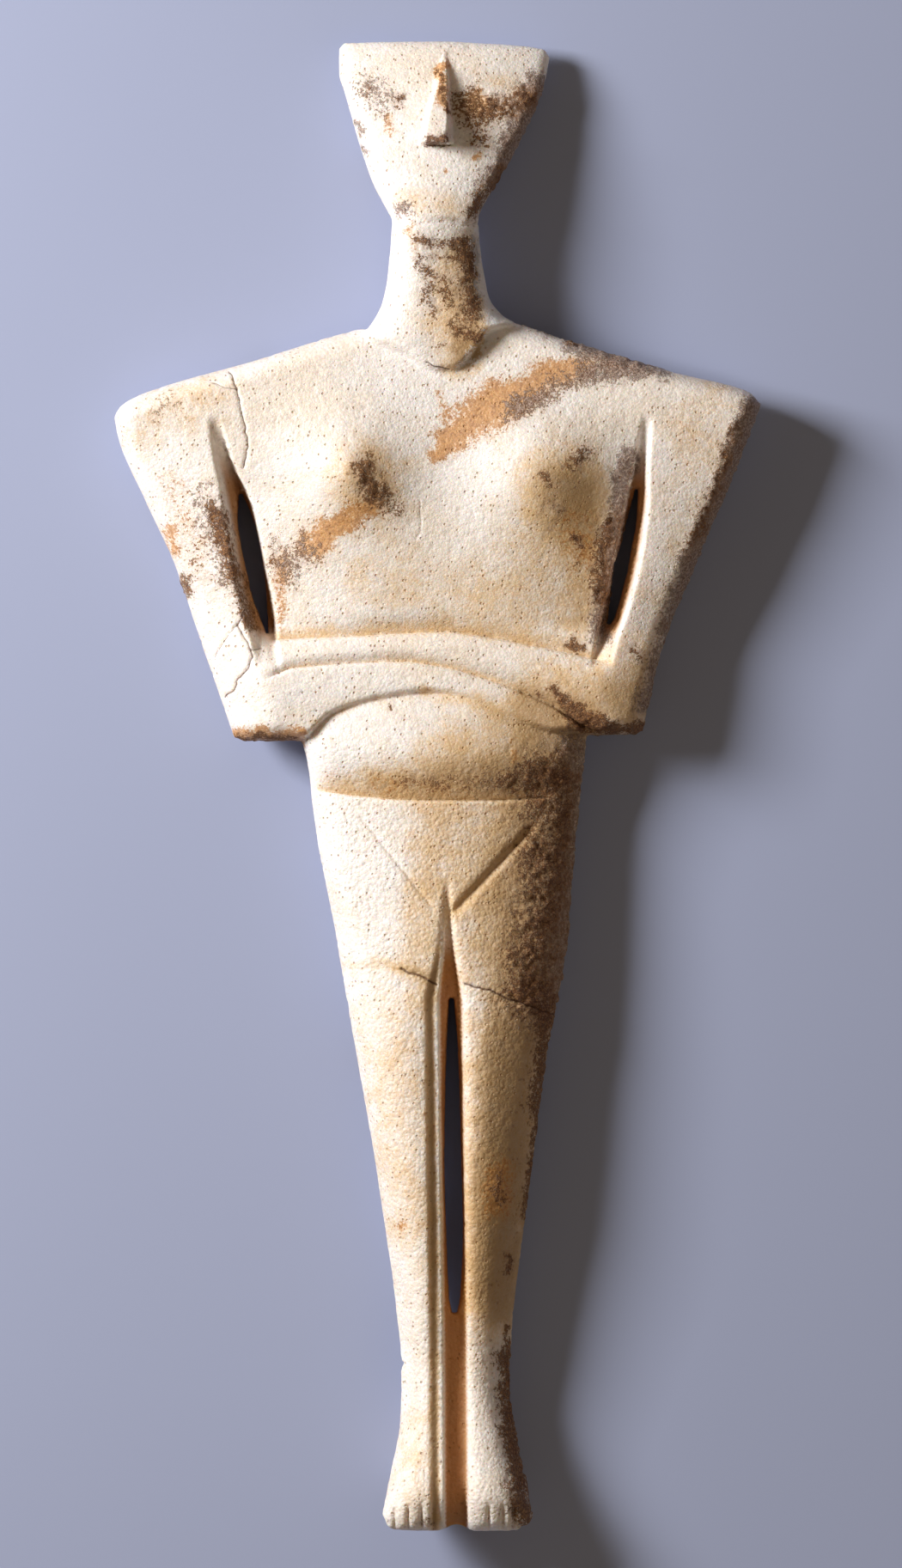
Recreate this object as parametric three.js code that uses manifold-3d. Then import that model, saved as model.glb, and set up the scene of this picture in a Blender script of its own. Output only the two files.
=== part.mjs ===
import * as THREE from 'three';
import { LoftGeometry } from 'three/addons/geometries/LoftGeometry.js';
import { mergeVertices } from 'three/addons/utils/BufferGeometryUtils.js';
import Module from 'manifold-3d';

// A slender marble figurine with folded arms, carved from one thin slab. It lies on its back with
// its face up (+Z), its head towards +Y and its left-hand side of the front view at -X.
// Its height is the one size in millimetres. Outline, pose and carving are shares of it, written in
// thousandths of the height and measured from the middle of the figure and from the ground.
const HEIGHT = 390;
const SHARE = HEIGHT / 1000;

// How full the rounded edges are: 2 is a quarter circle, more is squarer
const FULLNESS = 2.3;
// Where grid lines cross a rounded edge, as shares of its width
const EDGE_STOPS = [0.04, 0.18, 0.5, 1];

// Head: the side outlines give x at y, the crown and the chin give y at x
const HEAD_LEFT = line([372, -30], [380, -30.5], [384, -32.5], [404, -43], [423, -50], [465, -62],
  [479, -66], [495, -66]);
const HEAD_RIGHT = line([372, 27], [382, 27.5], [394, 33.5], [421, 49], [447, 62], [469, 71], [490, 76]);
const CROWN = line([-66, 495], [-62, 499], [0, 500], [41, 498], [71, 495], [76, 489]);
const CHIN = line([-30, 374], [0, 377], [27, 375]);
const FACE_HEIGHT = line([370, 69], [500, 27]);
const HEAD_BACK = line([372, 18], [400, 10], [440, 4], [500, 6]);
const HEAD_EDGE = 15;
const RIGHT_CHEEK_EDGE = 9;
// How far the face falls towards the cheeks, and how far the back of the head rises there
const CHEEK_FALL = 9;
const NAPE_LIFT = 3;
const CHIN_EDGE = 6;

// Nose: a wedge that stands up from the face, from its point between the eyes to a flat underside
const NOSE_TOP = 491;
const NOSE_BASE = 430;
const NOSE_PROJECTION = 22;
const NOSE_RIDGE_LEFT = line([430, -7], [491, 4]);
const NOSE_RIDGE_RIGHT = line([430, 6], [491, 6]);
const NOSE_FLANK_LEFT = line([430, -10], [491, 3]);
const NOSE_FLANK_RIGHT = line([430, 12], [491, 8]);
const NOSE_ROOT = 6;

// Neck, which runs down over the chest as a tongue
const NECK_LEFT = line([300, -52], [315, -41], [324, -37], [338, -34], [365, -31], [392, -30]);
const NECK_RIGHT = line([308, 57], [315, 44], [327, 35], [340, 32], [366, 28], [392, 27]);
const NECK_TOP = line([-30, 394], [27, 394]);
const TONGUE = line([-52, 301], [-23, 288], [0, 276], [10, 276], [21, 284], [36, 302], [57, 308]);
const NECK_FRONT = line([275, 61], [311, 64], [345, 63], [372, 65.5], [382, 64], [394, 60]);
const NECK_BACK = line([276, 12], [311, 10], [340, 18], [394, 20]);
const NECK_EDGE_LEFT = line([285, 48], [330, 24]);
const NECK_EDGE_RIGHT = line([285, 34], [330, 46]);
const TONGUE_EDGE = 7;

// Chest and arms, from the shoulders down to the lower edge of the forearms
const SHOULDERS = line([-217, 248], [-212, 255], [-200, 262], [-120, 286], [-54, 306], [0, 318],
  [29, 318], [57, 309], [77, 302], [157, 278], [209, 264], [217, 256]);
const ARM_LEFT = line([31, -136], [77, -152], [124, -168], [147, -176], [193, -197], [236, -215], [248, -217]);
const ARM_RIGHT = line([34, 137], [99, 153], [143, 171], [217, 202], [256, 217]);
const FOREARM_UNDER = line([-136, 32], [-128, 30], [-91, 30], [-71, 45], [-45, 54], [-5, 60],
  [28, 53], [64, 37], [80, 34], [130, 34], [137, 37]);
const FOREARM_TOP = line([-110, 98], [-63, 100], [6, 103], [37, 99], [79, 91], [112, 83]);
const FOREARM_SPLIT = line([-112, 73], [-95, 79], [-23, 83], [6, 79], [31, 72], [55, 63], [79, 52],
  [99, 43], [112, 43]);
const CHEST_FRONT = line([31, 60], [60, 61], [90, 59], [110, 56], [152, 58], [209, 59], [278, 55], [320, 48]);
const CHEST_BACK = line([31, 6], [90, 2], [130, -1], [230, -1], [260, 1], [311, 9]);
const CHEST_EDGE = 14;
const FOREARM_UNDER_EDGE = line([-104, 14], [-84, 7], [80, 7], [104, 14]);
const CHEST_LIFT = 7;
// The arms fall away outwards from their channels, and the torso does from its flat middle to them
const ARM_FALL_LEFT = line([31, 12], [60, 15], [150, 17], [215, 11], [250, 4]);
const ARM_FALL_RIGHT = line([31, 12], [60, 12], [120, 10], [215, 6], [250, 4]);
const TORSO_FROM = 25;
const TORSO_FALL = 13;
// Within this much of a channel's middle the torso's fall gives way to the arm's
const ARM_BLEND = 4;

// Breasts: low round swellings, each given by its middle, height and reach
const BREASTS = [
  { across: -60, along: 211, height: 20, reach: 34, sharpness: 1.6 },
  { across: 70, along: 207, height: 15, reach: 40, sharpness: 2 },
];

// Grooves over and between the forearms: a long slope down from above, a steep step up below, and
// a long swelling below that
const FOREARM_GROOVES = [
  { line: FOREARM_TOP, depth: () => 7.5, slope: () => 18, swell: 14 },
  {
    line: FOREARM_SPLIT,
    depth: line([-112, 4.6], [20, 5.4], [70, 8.1]),
    slope: line([-112, 9], [20, 11], [60, 20], [112, 24]),
    swell: 18,
  },
];
const GROOVE_STEP = 2.5;
const GROOVE_REACH = line([-118, 0], [-98, 1], [98, 1], [118, 0]);

// Channels between the arms and the chest, steep towards the chest and sloped towards the arm
const CHANNEL_LEFT = line([31, -106], [77, -111], [101, -114], [141, -122], [187, -131], [222, -143], [247, -149]);
const CHANNEL_RIGHT = line([31, 104], [84, 110], [118, 118], [141, 124], [187, 132.5], [222, 137], [248, 141]);
const CHANNEL_FLOOR = 5.5;
const CHANNEL_CHEST_SIDE = 9;
const CHANNEL_LEFT_ARM_SIDE = 16;
const CHANNEL_RIGHT_ARM_SIDE = 11;
const CHANNEL_DEPTH = 22;
const CHANNEL_FRONT_DEPTH = line([78, 0], [98, 11], [112, CHANNEL_DEPTH], [190, CHANNEL_DEPTH], [222, 9], [248, 0]);
const CHANNEL_BACK_DEPTH = line([60, 0], [100, 7], [190, 7], [235, 0]);

// Open slots that pierce the figure: the two edges give x at y
const SLOTS = [
  { from: 102, to: 196, left: line([102, -115], [123, -123], [143, -128], [161, -132], [179, -134], [196, -133]),
    right: line([102, -113.4], [121, -114.5], [136, -115.6], [154, -118], [169, -121], [183, -125.5], [196, -131]) },
  { from: 108, to: 199, left: line([108, 114], [118, 115], [146, 118], [160, 122.5], [174, 126], [199, 133]),
    right: line([108, 116.5], [118, 121], [132, 124.9], [146, 128.3], [160, 130.6], [174, 133.5], [199, 135]) },
  { from: -354, to: -143, left: line([-354, 10], [-344, 8], [-298, 6], [-252, 5], [-183, 6], [-143, 8]),
    right: line([-354, 13], [-344, 15], [-298, 17], [-252, 16], [-183, 14], [-143, 11]) },
];

// Hips, legs and feet
const BODY_LEFT = line([-490, -37], [-460, -31], [-425, -25], [-390, -24], [-356, -27], [-264, -40],
  [-171, -56], [-102, -68], [-21, -83], [14, -87], [30, -91]);
const BODY_RIGHT = line([-490, 64], [-437, 53], [-402, 48], [-385, 49], [-356, 51], [-275, 61], [-183, 73],
  [-113, 86], [-44, 92], [14, 98], [30, 100]);
const BODY_TOP = line([-91, 110], [100, 110]);
const TOES = line([-37, -490], [-34, -496], [-28, -499], [0, -500], [13, -496], [26, -500], [52, -500],
  [60, -497], [64, -490]);
const BODY_FRONT = line([-500, 60], [-477, 68], [-449, 59], [-420, 51], [-391, 48], [-353, 53], [-310, 58],
  [-240, 65], [-180, 66], [-107, 64], [-60, 63], [-12, 61.5], [-5, 61.5], [22, 67], [45, 62], [61, 52], [110, 45]);
const BODY_BACK = line([-500, 38], [-465, 2], [-449, -1], [-430, 4], [-391, 15], [-340, 8], [-300, 6],
  [-240, 9], [-200, 8], [-120, 3], [-75, -1], [-40, -1], [0, 3], [31, 6], [110, 6]);
const BODY_EDGE = 19;
const BODY_TOP_EDGE = 12;
const SOLE_EDGE = 8;
const BODY_LIFT = 9;
// Hips and legs fall away outwards from ridges, which lie at this share of the way to the outline
const RIDGE_LEFT = line([-500, 0.3], [-350, 0.4], [-190, 0.38], [-60, 0.1], [110, 0.1]);
const RIDGE_RIGHT = line([-500, 0.3], [-420, 0.22], [-350, 0.2], [-250, 0.16], [-140, 0.06], [-60, 0], [110, 0]);
const FALL_LEFT = line([-500, 8], [-400, 15], [-350, 18], [-190, 20], [-60, 17], [30, 14], [110, 10]);
const FALL_RIGHT = line([-500, 9], [-400, 18], [-350, 21], [-190, 24], [-60, 26], [30, 24], [110, 12]);
// Rows of the grid: feet, ankles, the web between the shins, the top of the leg slot, groin, belly
const FEET_ROW = -440;
const ANKLE_ROW = -391;
const WEB_ROW = -353;
const THIGH_ROW = -143;
const GROIN_ROW = -100;
const BELLY_ROW = 60;
const BELLY_TOP_ROW = 98;
// How much of the way from an edge to the cleft the rounded edge may take
const EDGE_LIMIT = 0.6;

// Waist line, cut across the belly
const WAIST = line([-90, -2], [-51, -7], [-5, -10], [35, -10], [95, -7]);
const WAIST_DEPTH = line([-86, 0], [-70, 3.6], [60, 3.6], [80, 0]);
const WAIST_SLOPE = 16;

// Cleft between the legs, bevelled twice on the left and steep on the right
const CLEFT = line([-500, 13], [-353, 12], [-252, 10.5], [-143, 9], [-79, 7], [0, 6]);
const CLEFT_FRONT_DEPTH = line([-500, 22], [-450, 16], [-391, 13], [-353, 15], [-320, 19], [-200, 20],
  [-143, 16], [-110, 9], [-83, 4], [-61, 0]);
const CLEFT_BACK_DEPTH = line([-500, 4], [-391, 5], [-353, 7], [-150, 8], [-110, 6], [-60, 5], [-15, 0]);
const CLEFT_WIDTH = line([-143, 1], [-105, 0.45], [-61, 0.2], [-40, 0.4], [0, 1]);
const CLEFT_LINES = [-18, -11, -9, -6, 6, 8.3, 14, 22];
const CLEFT_SHARES = [0, 0.22, 0.28, 1, 1, 0.25, 0.07, 0];
const CLEFT_ACROSS = line(...CLEFT_LINES.map((offset, i) => [offset, CLEFT_SHARES[i]]));

// The two lines of the groin: where each runs, how deep it is and how wide to each side
const GROIN_LINES = [
  { from: [-53, -19], to: [-1, -83], depth: 2, width: 2.5 },
  { from: [66, -26], to: [11, -85], depth: 3, width: 4 },
];
// Cuts between the toes, each across the end of a foot, and the groove of the spine
const TOE_CUTS = [-28, -19, -10, -2, 34, 44, 52];
const TOE_CUT_FROM = -480;
const TOE_CUT_TO = -500;
const TOE_CUT_DEPTH = 3.5;
const TOE_CUT_WIDTH = 1.8;
const SPINE = { from: [0, 285], to: [4, 0], depth: 2.5, width: 4 };
const INCISION_STATIONS = 8;

const STONE = new THREE.MeshStandardMaterial({ color: 0xe9dcc0, roughness: 0.55, metalness: 0 });

/** A smooth line through points, each an input and an output, that never overshoots them. */
function line(...points) {
  const slope = (i) => (points[i + 1][1] - points[i][1]) / (points[i + 1][0] - points[i][0]);
  const tangents = points.map((point, i) => {
    if (i === 0) return slope(0);
    if (i === points.length - 1) return slope(i - 1);
    const before = slope(i - 1);
    const after = slope(i);
    return before * after <= 0 ? 0 : 2 * before * after / (before + after);
  });
  return (input) => {
    const last = points.length - 1;
    if (input <= points[0][0]) return points[0][1];
    if (input >= points[last][0]) return points[last][1];
    const i = points.findIndex((point, k) => k < last && input < points[k + 1][0]);
    const run = points[i + 1][0] - points[i][0];
    const t = (input - points[i][0]) / run;
    const ease = t * t * (3 - 2 * t);
    const rising = run * tangents[i] * t * (1 - t) * (1 - t);
    const falling = run * tangents[i + 1] * t * t * (1 - t);
    return points[i][1] * (1 - ease) + points[i + 1][1] * ease + rising - falling;
  };
}

/** The stops that divide a stretch evenly. */
function even(count) {
  return Array.from({ length: count }, (unused, i) => (i + 1) / count);
}

/** The edge stops in the other direction, towards the outline. */
function outward() {
  return [...EDGE_STOPS.slice(0, -1).reverse().map((stop) => 1 - stop), 1];
}

/** Grid lines from key lines, with the stretch after each key line divided at its stops. */
function weave(keys, stretches) {
  const lines = [keys[0]];
  stretches.forEach((stops, i) => {
    stops.forEach((stop) => lines.push((at) => keys[i](at) * (1 - stop) + keys[i + 1](at) * stop));
  });
  return lines;
}

/** The place where a grid column (x at y) meets a grid row (y at x). */
function crossing(column, row) {
  let along = row(0);
  for (let pass = 0; pass < 60; pass += 1) {
    along = row(column(along));
  }
  return [column(along), along];
}

/** How far a surface has risen at a distance from the outline, from 0 on it to 1 past the edge. */
function rise(distance, edge) {
  const rest = 1 - Math.min(Math.max(distance / edge, 0), 1);
  return (1 - rest ** FULLNESS) ** (1 / FULLNESS);
}

/** The height of a block's front (side 1) or back (side -1), rounded over at its four edges. */
function heightOf(block, side, across, along) {
  const front = block.front(across, along);
  const back = block.back(across, along);
  const middle = (front + back) / 2;
  const risen = rise(across - block.left(along), block.edges.left(along))
    * rise(block.right(along) - across, block.edges.right(along))
    * rise(block.top(across) - along, block.edges.top(across))
    * rise(along - block.bottom(across), block.edges.bottom(across));
  return middle + ((side > 0 ? front : back) - middle) * risen;
}

/** A block's body: each grid row is a ring over the front and back, and the outline closes it. */
function blockGeometry(block) {
  const last = block.columns.length - 1;
  const rings = block.rows.map((row, level) => {
    const flat = level === 0 || level === block.rows.length - 1;
    const places = block.columns.map((column) => crossing(column, row));
    const point = (side, i) => {
      const [across, along] = places[i];
      const onOutline = flat || i === 0 || i === last;
      const middle = (block.front(across, along) + block.back(across, along)) / 2;
      const height = onOutline ? middle : heightOf(block, side, across, along);
      return new THREE.Vector3(across, along, height).multiplyScalar(SHARE);
    };
    const front = places.map((place, i) => point(1, i));
    const back = places.map((place, i) => point(-1, i)).slice(1, -1).reverse();
    return [...front, ...back];
  });
  return new LoftGeometry(rings);
}

/** How far across a block a place lies, from -1 on its left outline to 1 on its right outline. */
function shareAcross(block, across, along) {
  const left = block.left(along);
  const right = block.right(along);
  return (2 * across - left - right) / (right - left);
}

/** A notch, 1 deep on its line: a curved slope above it, and a short step and a swelling below. */
function notch(offset, slope, step, swell = 0) {
  if (offset >= 0) return Math.max(1 - offset / slope, 0) ** 2;
  const stepped = Math.max(1 + offset / step, 0);
  return swell ? (2 * stepped + Math.max(1 + offset / swell, 0) ** 2) / 3 : stepped;
}

/** 0 up to low and 1 from high, smoothly between them. */
function smoothStep(low, high, value) {
  const t = Math.min(Math.max((value - low) / (high - low), 0), 1);
  return t * t * (3 - 2 * t);
}

function headBlock() {
  const inner = (outline, offset) => (along) => outline(along) + offset;
  const sides = { left: HEAD_LEFT, right: HEAD_RIGHT };
  return {
    left: HEAD_LEFT,
    right: HEAD_RIGHT,
    top: CROWN,
    bottom: CHIN,
    edges: {
      left: () => HEAD_EDGE, right: () => RIGHT_CHEEK_EDGE, top: () => HEAD_EDGE, bottom: () => CHIN_EDGE,
    },
    columns: weave(
      [HEAD_LEFT, inner(HEAD_LEFT, HEAD_EDGE), inner(HEAD_RIGHT, -RIGHT_CHEEK_EDGE), HEAD_RIGHT],
      [EDGE_STOPS, even(6), outward()],
    ),
    rows: weave(
      [CHIN, (x) => CHIN(x) + CHIN_EDGE, (x) => CROWN(x) - HEAD_EDGE, CROWN],
      [EDGE_STOPS, even(7), outward()],
    ),
    front: (x, y) => FACE_HEIGHT(y) - CHEEK_FALL * shareAcross(sides, x, y) ** 2,
    back: (x, y) => HEAD_BACK(y) + NAPE_LIFT * shareAcross(sides, x, y) ** 2,
  };
}

function neckBlock() {
  return {
    left: NECK_LEFT,
    right: NECK_RIGHT,
    top: NECK_TOP,
    bottom: TONGUE,
    edges: { left: NECK_EDGE_LEFT, right: NECK_EDGE_RIGHT, top: () => TONGUE_EDGE, bottom: () => TONGUE_EDGE },
    columns: weave([NECK_LEFT, NECK_RIGHT], [[0.02, 0.08, 0.2, 0.35, 0.5, 0.65, 0.8, 0.92, 0.98, 1]]),
    rows: weave(
      [TONGUE, (x) => TONGUE(x) + TONGUE_EDGE, (x) => NECK_TOP(x) - TONGUE_EDGE, NECK_TOP],
      [EDGE_STOPS, even(9), [1]],
    ),
    front: (x, y) => NECK_FRONT(y),
    back: (x, y) => NECK_BACK(y),
  };
}

/** How deep an arm channel is at a place, as a share of its full depth. */
function channelAcross(across, along) {
  const fromLeft = across - CHANNEL_LEFT(along);
  const fromRight = CHANNEL_RIGHT(along) - across;
  const towardsChest = across < 0 ? fromLeft : fromRight;
  const armSide = across < 0 ? CHANNEL_LEFT_ARM_SIDE : CHANNEL_RIGHT_ARM_SIDE;
  const slope = towardsChest > 0 ? CHANNEL_CHEST_SIDE : armSide;
  const past = Math.max(Math.abs(towardsChest) - CHANNEL_FLOOR, 0);
  return Math.max(1 - past / (slope - CHANNEL_FLOOR), 0);
}

/** How far the chest's front falls away: outwards on the arms, and inside their channels. */
function chestFall(x, y) {
  const away = Math.abs(x);
  const channel = x < 0 ? -CHANNEL_LEFT(y) : CHANNEL_RIGHT(y);
  const outer = Math.min(Math.max((away - channel) / (ARM_RIGHT(y) - channel), 0), 1);
  const inner = Math.min(Math.max((away - TORSO_FROM) / (channel - TORSO_FROM), 0), 1);
  const torso = 1 - smoothStep(-ARM_BLEND, ARM_BLEND, away - channel);
  const cut = CHANNEL_FRONT_DEPTH(y) / CHANNEL_DEPTH;
  const arm = (x < 0 ? ARM_FALL_LEFT : ARM_FALL_RIGHT)(y);
  return arm * outer ** 1.5 + TORSO_FALL * cut * torso * inner ** 2;
}

function chestFront(x, y) {
  const breasts = BREASTS.reduce((sum, breast) => {
    const away = Math.hypot(x - breast.across, y - breast.along) / breast.reach;
    return sum + breast.height * Math.exp(-(away ** breast.sharpness));
  }, 0);
  const grooves = FOREARM_GROOVES.reduce((sum, groove) => (
    sum + groove.depth(x) * notch(y - groove.line(x), groove.slope(x), GROOVE_STEP, groove.swell)
  ), 0);
  const channel = CHANNEL_FRONT_DEPTH(y) * channelAcross(x, y);
  return CHEST_FRONT(y) + breasts - grooves * GROOVE_REACH(x) - chestFall(x, y) - channel;
}

function chestBack(x, y) {
  const lift = CHEST_LIFT * Math.abs(x / ARM_RIGHT(y)) ** 3;
  return CHEST_BACK(y) + lift + CHANNEL_BACK_DEPTH(y) * channelAcross(x, y);
}

function chestBlock() {
  const beside = (outline, offset) => (along) => outline(along) + offset;
  const lowerEdge = (x) => Math.min(
    FOREARM_UNDER(x) + FOREARM_UNDER_EDGE(x),
    (FOREARM_UNDER(x) + FOREARM_SPLIT(x)) / 2,
  );
  return {
    left: ARM_LEFT,
    right: ARM_RIGHT,
    top: SHOULDERS,
    bottom: FOREARM_UNDER,
    edges: {
      left: () => CHEST_EDGE, right: () => CHEST_EDGE, top: () => CHEST_EDGE, bottom: FOREARM_UNDER_EDGE,
    },
    columns: weave(
      [
        ARM_LEFT, beside(ARM_LEFT, CHEST_EDGE),
        beside(CHANNEL_LEFT, -CHANNEL_LEFT_ARM_SIDE), beside(CHANNEL_LEFT, -CHANNEL_FLOOR),
        beside(CHANNEL_LEFT, CHANNEL_FLOOR), beside(CHANNEL_LEFT, CHANNEL_CHEST_SIDE),
        beside(CHANNEL_RIGHT, -CHANNEL_CHEST_SIDE), beside(CHANNEL_RIGHT, -CHANNEL_FLOOR),
        beside(CHANNEL_RIGHT, CHANNEL_FLOOR), beside(CHANNEL_RIGHT, CHANNEL_RIGHT_ARM_SIDE),
        beside(ARM_RIGHT, -CHEST_EDGE), ARM_RIGHT,
      ],
      [EDGE_STOPS, even(2), [1], [1], [1], even(14), [1], [1], [1], even(2), outward()],
    ),
    rows: weave(
      [
        FOREARM_UNDER, lowerEdge, (x) => FOREARM_SPLIT(x) - GROOVE_STEP, FOREARM_SPLIT,
        (x) => FOREARM_TOP(x) - GROOVE_STEP, FOREARM_TOP, (x) => FOREARM_TOP(x) + FOREARM_GROOVES[0].slope(x),
        (x) => SHOULDERS(x) - CHEST_EDGE, SHOULDERS,
      ],
      [EDGE_STOPS, even(2), [1], even(2), [1], even(2), even(9), outward()],
    ),
    front: chestFront,
    back: chestBack,
  };
}

/** How deep the cleft is at a place, as a share of its full depth. */
function cleftAcross(across, along) {
  return CLEFT_ACROSS((across - CLEFT(along)) / CLEFT_WIDTH(along));
}

function bodyFront(x, y) {
  const away = shareAcross({ left: BODY_LEFT, right: BODY_RIGHT }, x, y);
  const ridge = (away < 0 ? RIDGE_LEFT : RIDGE_RIGHT)(y);
  const outer = Math.min(Math.max((Math.abs(away) - ridge) / (1 - ridge), 0), 1);
  const fall = (away < 0 ? FALL_LEFT : FALL_RIGHT)(y) * outer ** 2;
  const waist = WAIST_DEPTH(x) * notch(y - WAIST(x), WAIST_SLOPE, GROOVE_STEP);
  return BODY_FRONT(y) - fall - waist - CLEFT_FRONT_DEPTH(y) * cleftAcross(x, y);
}

function bodyBack(x, y) {
  const lift = BODY_LIFT * Math.abs(shareAcross({ left: BODY_LEFT, right: BODY_RIGHT }, x, y)) ** 3;
  return BODY_BACK(y) + lift + CLEFT_BACK_DEPTH(y) * cleftAcross(x, y);
}

function bodyBlock() {
  const cleftLines = CLEFT_LINES.map((offset) => (along) => CLEFT(along) + offset * CLEFT_WIDTH(along));
  const reach = (edge, along) => Math.min(BODY_EDGE, EDGE_LIMIT * Math.abs(cleftLines.at(edge)(along)
    - (edge === 0 ? BODY_LEFT : BODY_RIGHT)(along)));
  return {
    left: BODY_LEFT,
    right: BODY_RIGHT,
    top: BODY_TOP,
    bottom: TOES,
    edges: { left: () => BODY_EDGE, right: () => BODY_EDGE, top: () => BODY_TOP_EDGE, bottom: () => SOLE_EDGE },
    columns: weave(
      [
        BODY_LEFT, (y) => BODY_LEFT(y) + reach(0, y), ...cleftLines,
        (y) => BODY_RIGHT(y) - reach(-1, y), BODY_RIGHT,
      ],
      [EDGE_STOPS, even(3), [1], [1], [1], [1], [1], [1], [1], even(2), outward()],
    ),
    rows: weave(
      [
        TOES, (x) => TOES(x) + SOLE_EDGE, () => FEET_ROW, () => ANKLE_ROW, () => WEB_ROW,
        () => THIGH_ROW, () => GROIN_ROW, (x) => WAIST(x) - GROOVE_STEP, WAIST,
        (x) => WAIST(x) + WAIST_SLOPE, () => BELLY_ROW, () => BELLY_TOP_ROW, BODY_TOP,
      ],
      [EDGE_STOPS, even(4), even(3), even(2), even(7), even(3), even(5), [1], even(2), even(3), even(2), [1]],
    ),
    front: bodyFront,
    back: bodyBack,
  };
}

/** The nose as a wedge: its rings run from the underside up to its point. */
function noseGeometry() {
  const ring = (along) => {
    const grown = (NOSE_TOP - along) / (NOSE_TOP - NOSE_BASE);
    const face = FACE_HEIGHT(along);
    return [
      [NOSE_FLANK_LEFT(along), face - NOSE_ROOT],
      [NOSE_FLANK_RIGHT(along), face - NOSE_ROOT],
      [NOSE_RIDGE_RIGHT(along), face + NOSE_PROJECTION * grown],
      [NOSE_RIDGE_LEFT(along), face + NOSE_PROJECTION * grown],
    ].map(([across, height]) => new THREE.Vector3(across, along, height).multiplyScalar(SHARE));
  };
  return new LoftGeometry([ring(NOSE_BASE), ring(NOSE_TOP)].map((section) => section.reverse()),
    { capStart: true, capEnd: true });
}

/** A V-shaped cutter along stations, each a place across, along and the height of the surface. */
function bladeGeometry(stations, depth, width, side) {
  const opened = 3;
  const direction = new THREE.Vector2(
    stations.at(-1)[0] - stations[0][0],
    stations.at(-1)[1] - stations[0][1],
  ).normalize();
  const rings = stations.map(([across, along, height], i) => {
    const taper = i === 0 ? 0.2 : 1;
    const corner = (sideways, up) => new THREE.Vector3(
      across + direction.y * sideways,
      along - direction.x * sideways,
      height + side * up,
    ).multiplyScalar(SHARE);
    const spread = width * (depth * taper + opened) / depth;
    const ring = [corner(0, -depth * taper), corner(spread, opened), corner(-spread, opened)];
    return side > 0 ? ring.reverse() : ring;
  });
  return new LoftGeometry(rings, { capStart: true, capEnd: true });
}

/** Stations along a straight incision that follow the height of a block's surface. */
function incisionStations(cut, block, side) {
  return Array.from({ length: INCISION_STATIONS + 1 }, (unused, i) => {
    const share = i / INCISION_STATIONS;
    const across = cut.from[0] * (1 - share) + cut.to[0] * share;
    const along = cut.from[1] * (1 - share) + cut.to[1] * share;
    return [across, along, heightOf(block, side, across, along)];
  });
}

/** A slot that pierces the figure, its outline sampled along both edges. */
function slotGeometry(slot) {
  const steps = even(9);
  const at = (share) => slot.from * (1 - share) + slot.to * share;
  const edge = (side) => [0, ...steps].map((share) => new THREE.Vector2(side(at(share)), at(share)));
  const outline = [...edge(slot.right), ...edge(slot.left).reverse()];
  const depth = 2 * BREASTS[0].height + CHEST_FRONT(slot.to) * 2;
  const geometry = new THREE.ExtrudeGeometry(
    new THREE.Shape(outline.map((corner) => corner.multiplyScalar(SHARE))),
    { depth: depth * SHARE, bevelEnabled: false },
  );
  return geometry.translate(0, 0, -BREASTS[0].height * SHARE);
}

const wasm = await Module();
wasm.setup();
const MERGE_DISTANCE = 1e-4;

/** A solid that can be joined and cut, from a closed geometry. */
function solid(geometry) {
  const plain = new THREE.BufferGeometry();
  plain.setAttribute('position', geometry.attributes.position);
  plain.setIndex(geometry.index);
  const merged = mergeVertices(plain, MERGE_DISTANCE);
  return new wasm.Manifold(new wasm.Mesh({
    numProp: 3,
    vertProperties: Float32Array.from(merged.attributes.position.array),
    triVerts: Uint32Array.from(merged.index.array),
  }));
}

/** The ground below the resting figure, which flattens the spots that it lies on. */
function groundGeometry() {
  return new THREE.BoxGeometry(HEIGHT, 2 * HEIGHT, HEIGHT).translate(0, 0, -HEIGHT / 2);
}

/** The whole figurine: its blocks joined, then its slots and incised lines cut. */
function figurineGeometry() {
  const chest = chestBlock();
  const body = bodyBlock();
  const joined = [chest, body, neckBlock(), headBlock()]
    .map((block) => solid(blockGeometry(block)))
    .reduce((whole, block) => whole.add(block))
    .add(solid(noseGeometry()));
  const toeStations = (across) => incisionStations(
    { from: [across, TOE_CUT_FROM], to: [across, TOE_CUT_TO] },
    body,
    1,
  );
  const cutters = [
    ...SLOTS.map(slotGeometry),
    ...GROIN_LINES.map((cut) => bladeGeometry(incisionStations(cut, body, 1), cut.depth, cut.width, 1)),
    ...TOE_CUTS.map((across) => bladeGeometry(toeStations(across), TOE_CUT_DEPTH, TOE_CUT_WIDTH, 1)),
    bladeGeometry(incisionStations(SPINE, chest, -1), SPINE.depth, SPINE.width, -1),
    groundGeometry(),
  ];
  const carved = cutters.map(solid).reduce((whole, cutter) => whole.subtract(cutter), joined);
  // The joining can leave specks at a corner of the outline, far smaller than a grain
  const [figure] = carved.decompose().sort((one, other) => other.volume() - one.volume());
  const mesh = figure.getMesh();
  const geometry = new THREE.BufferGeometry();
  geometry.setAttribute('position', new THREE.BufferAttribute(mesh.vertProperties, 3));
  geometry.setIndex(new THREE.BufferAttribute(mesh.triVerts, 1));
  return geometry;
}

const figurine = new THREE.Mesh(figurineGeometry(), STONE);
figurine.name = 'figurine';

const part = new THREE.Group();
part.add(figurine);

export default part;
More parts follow.
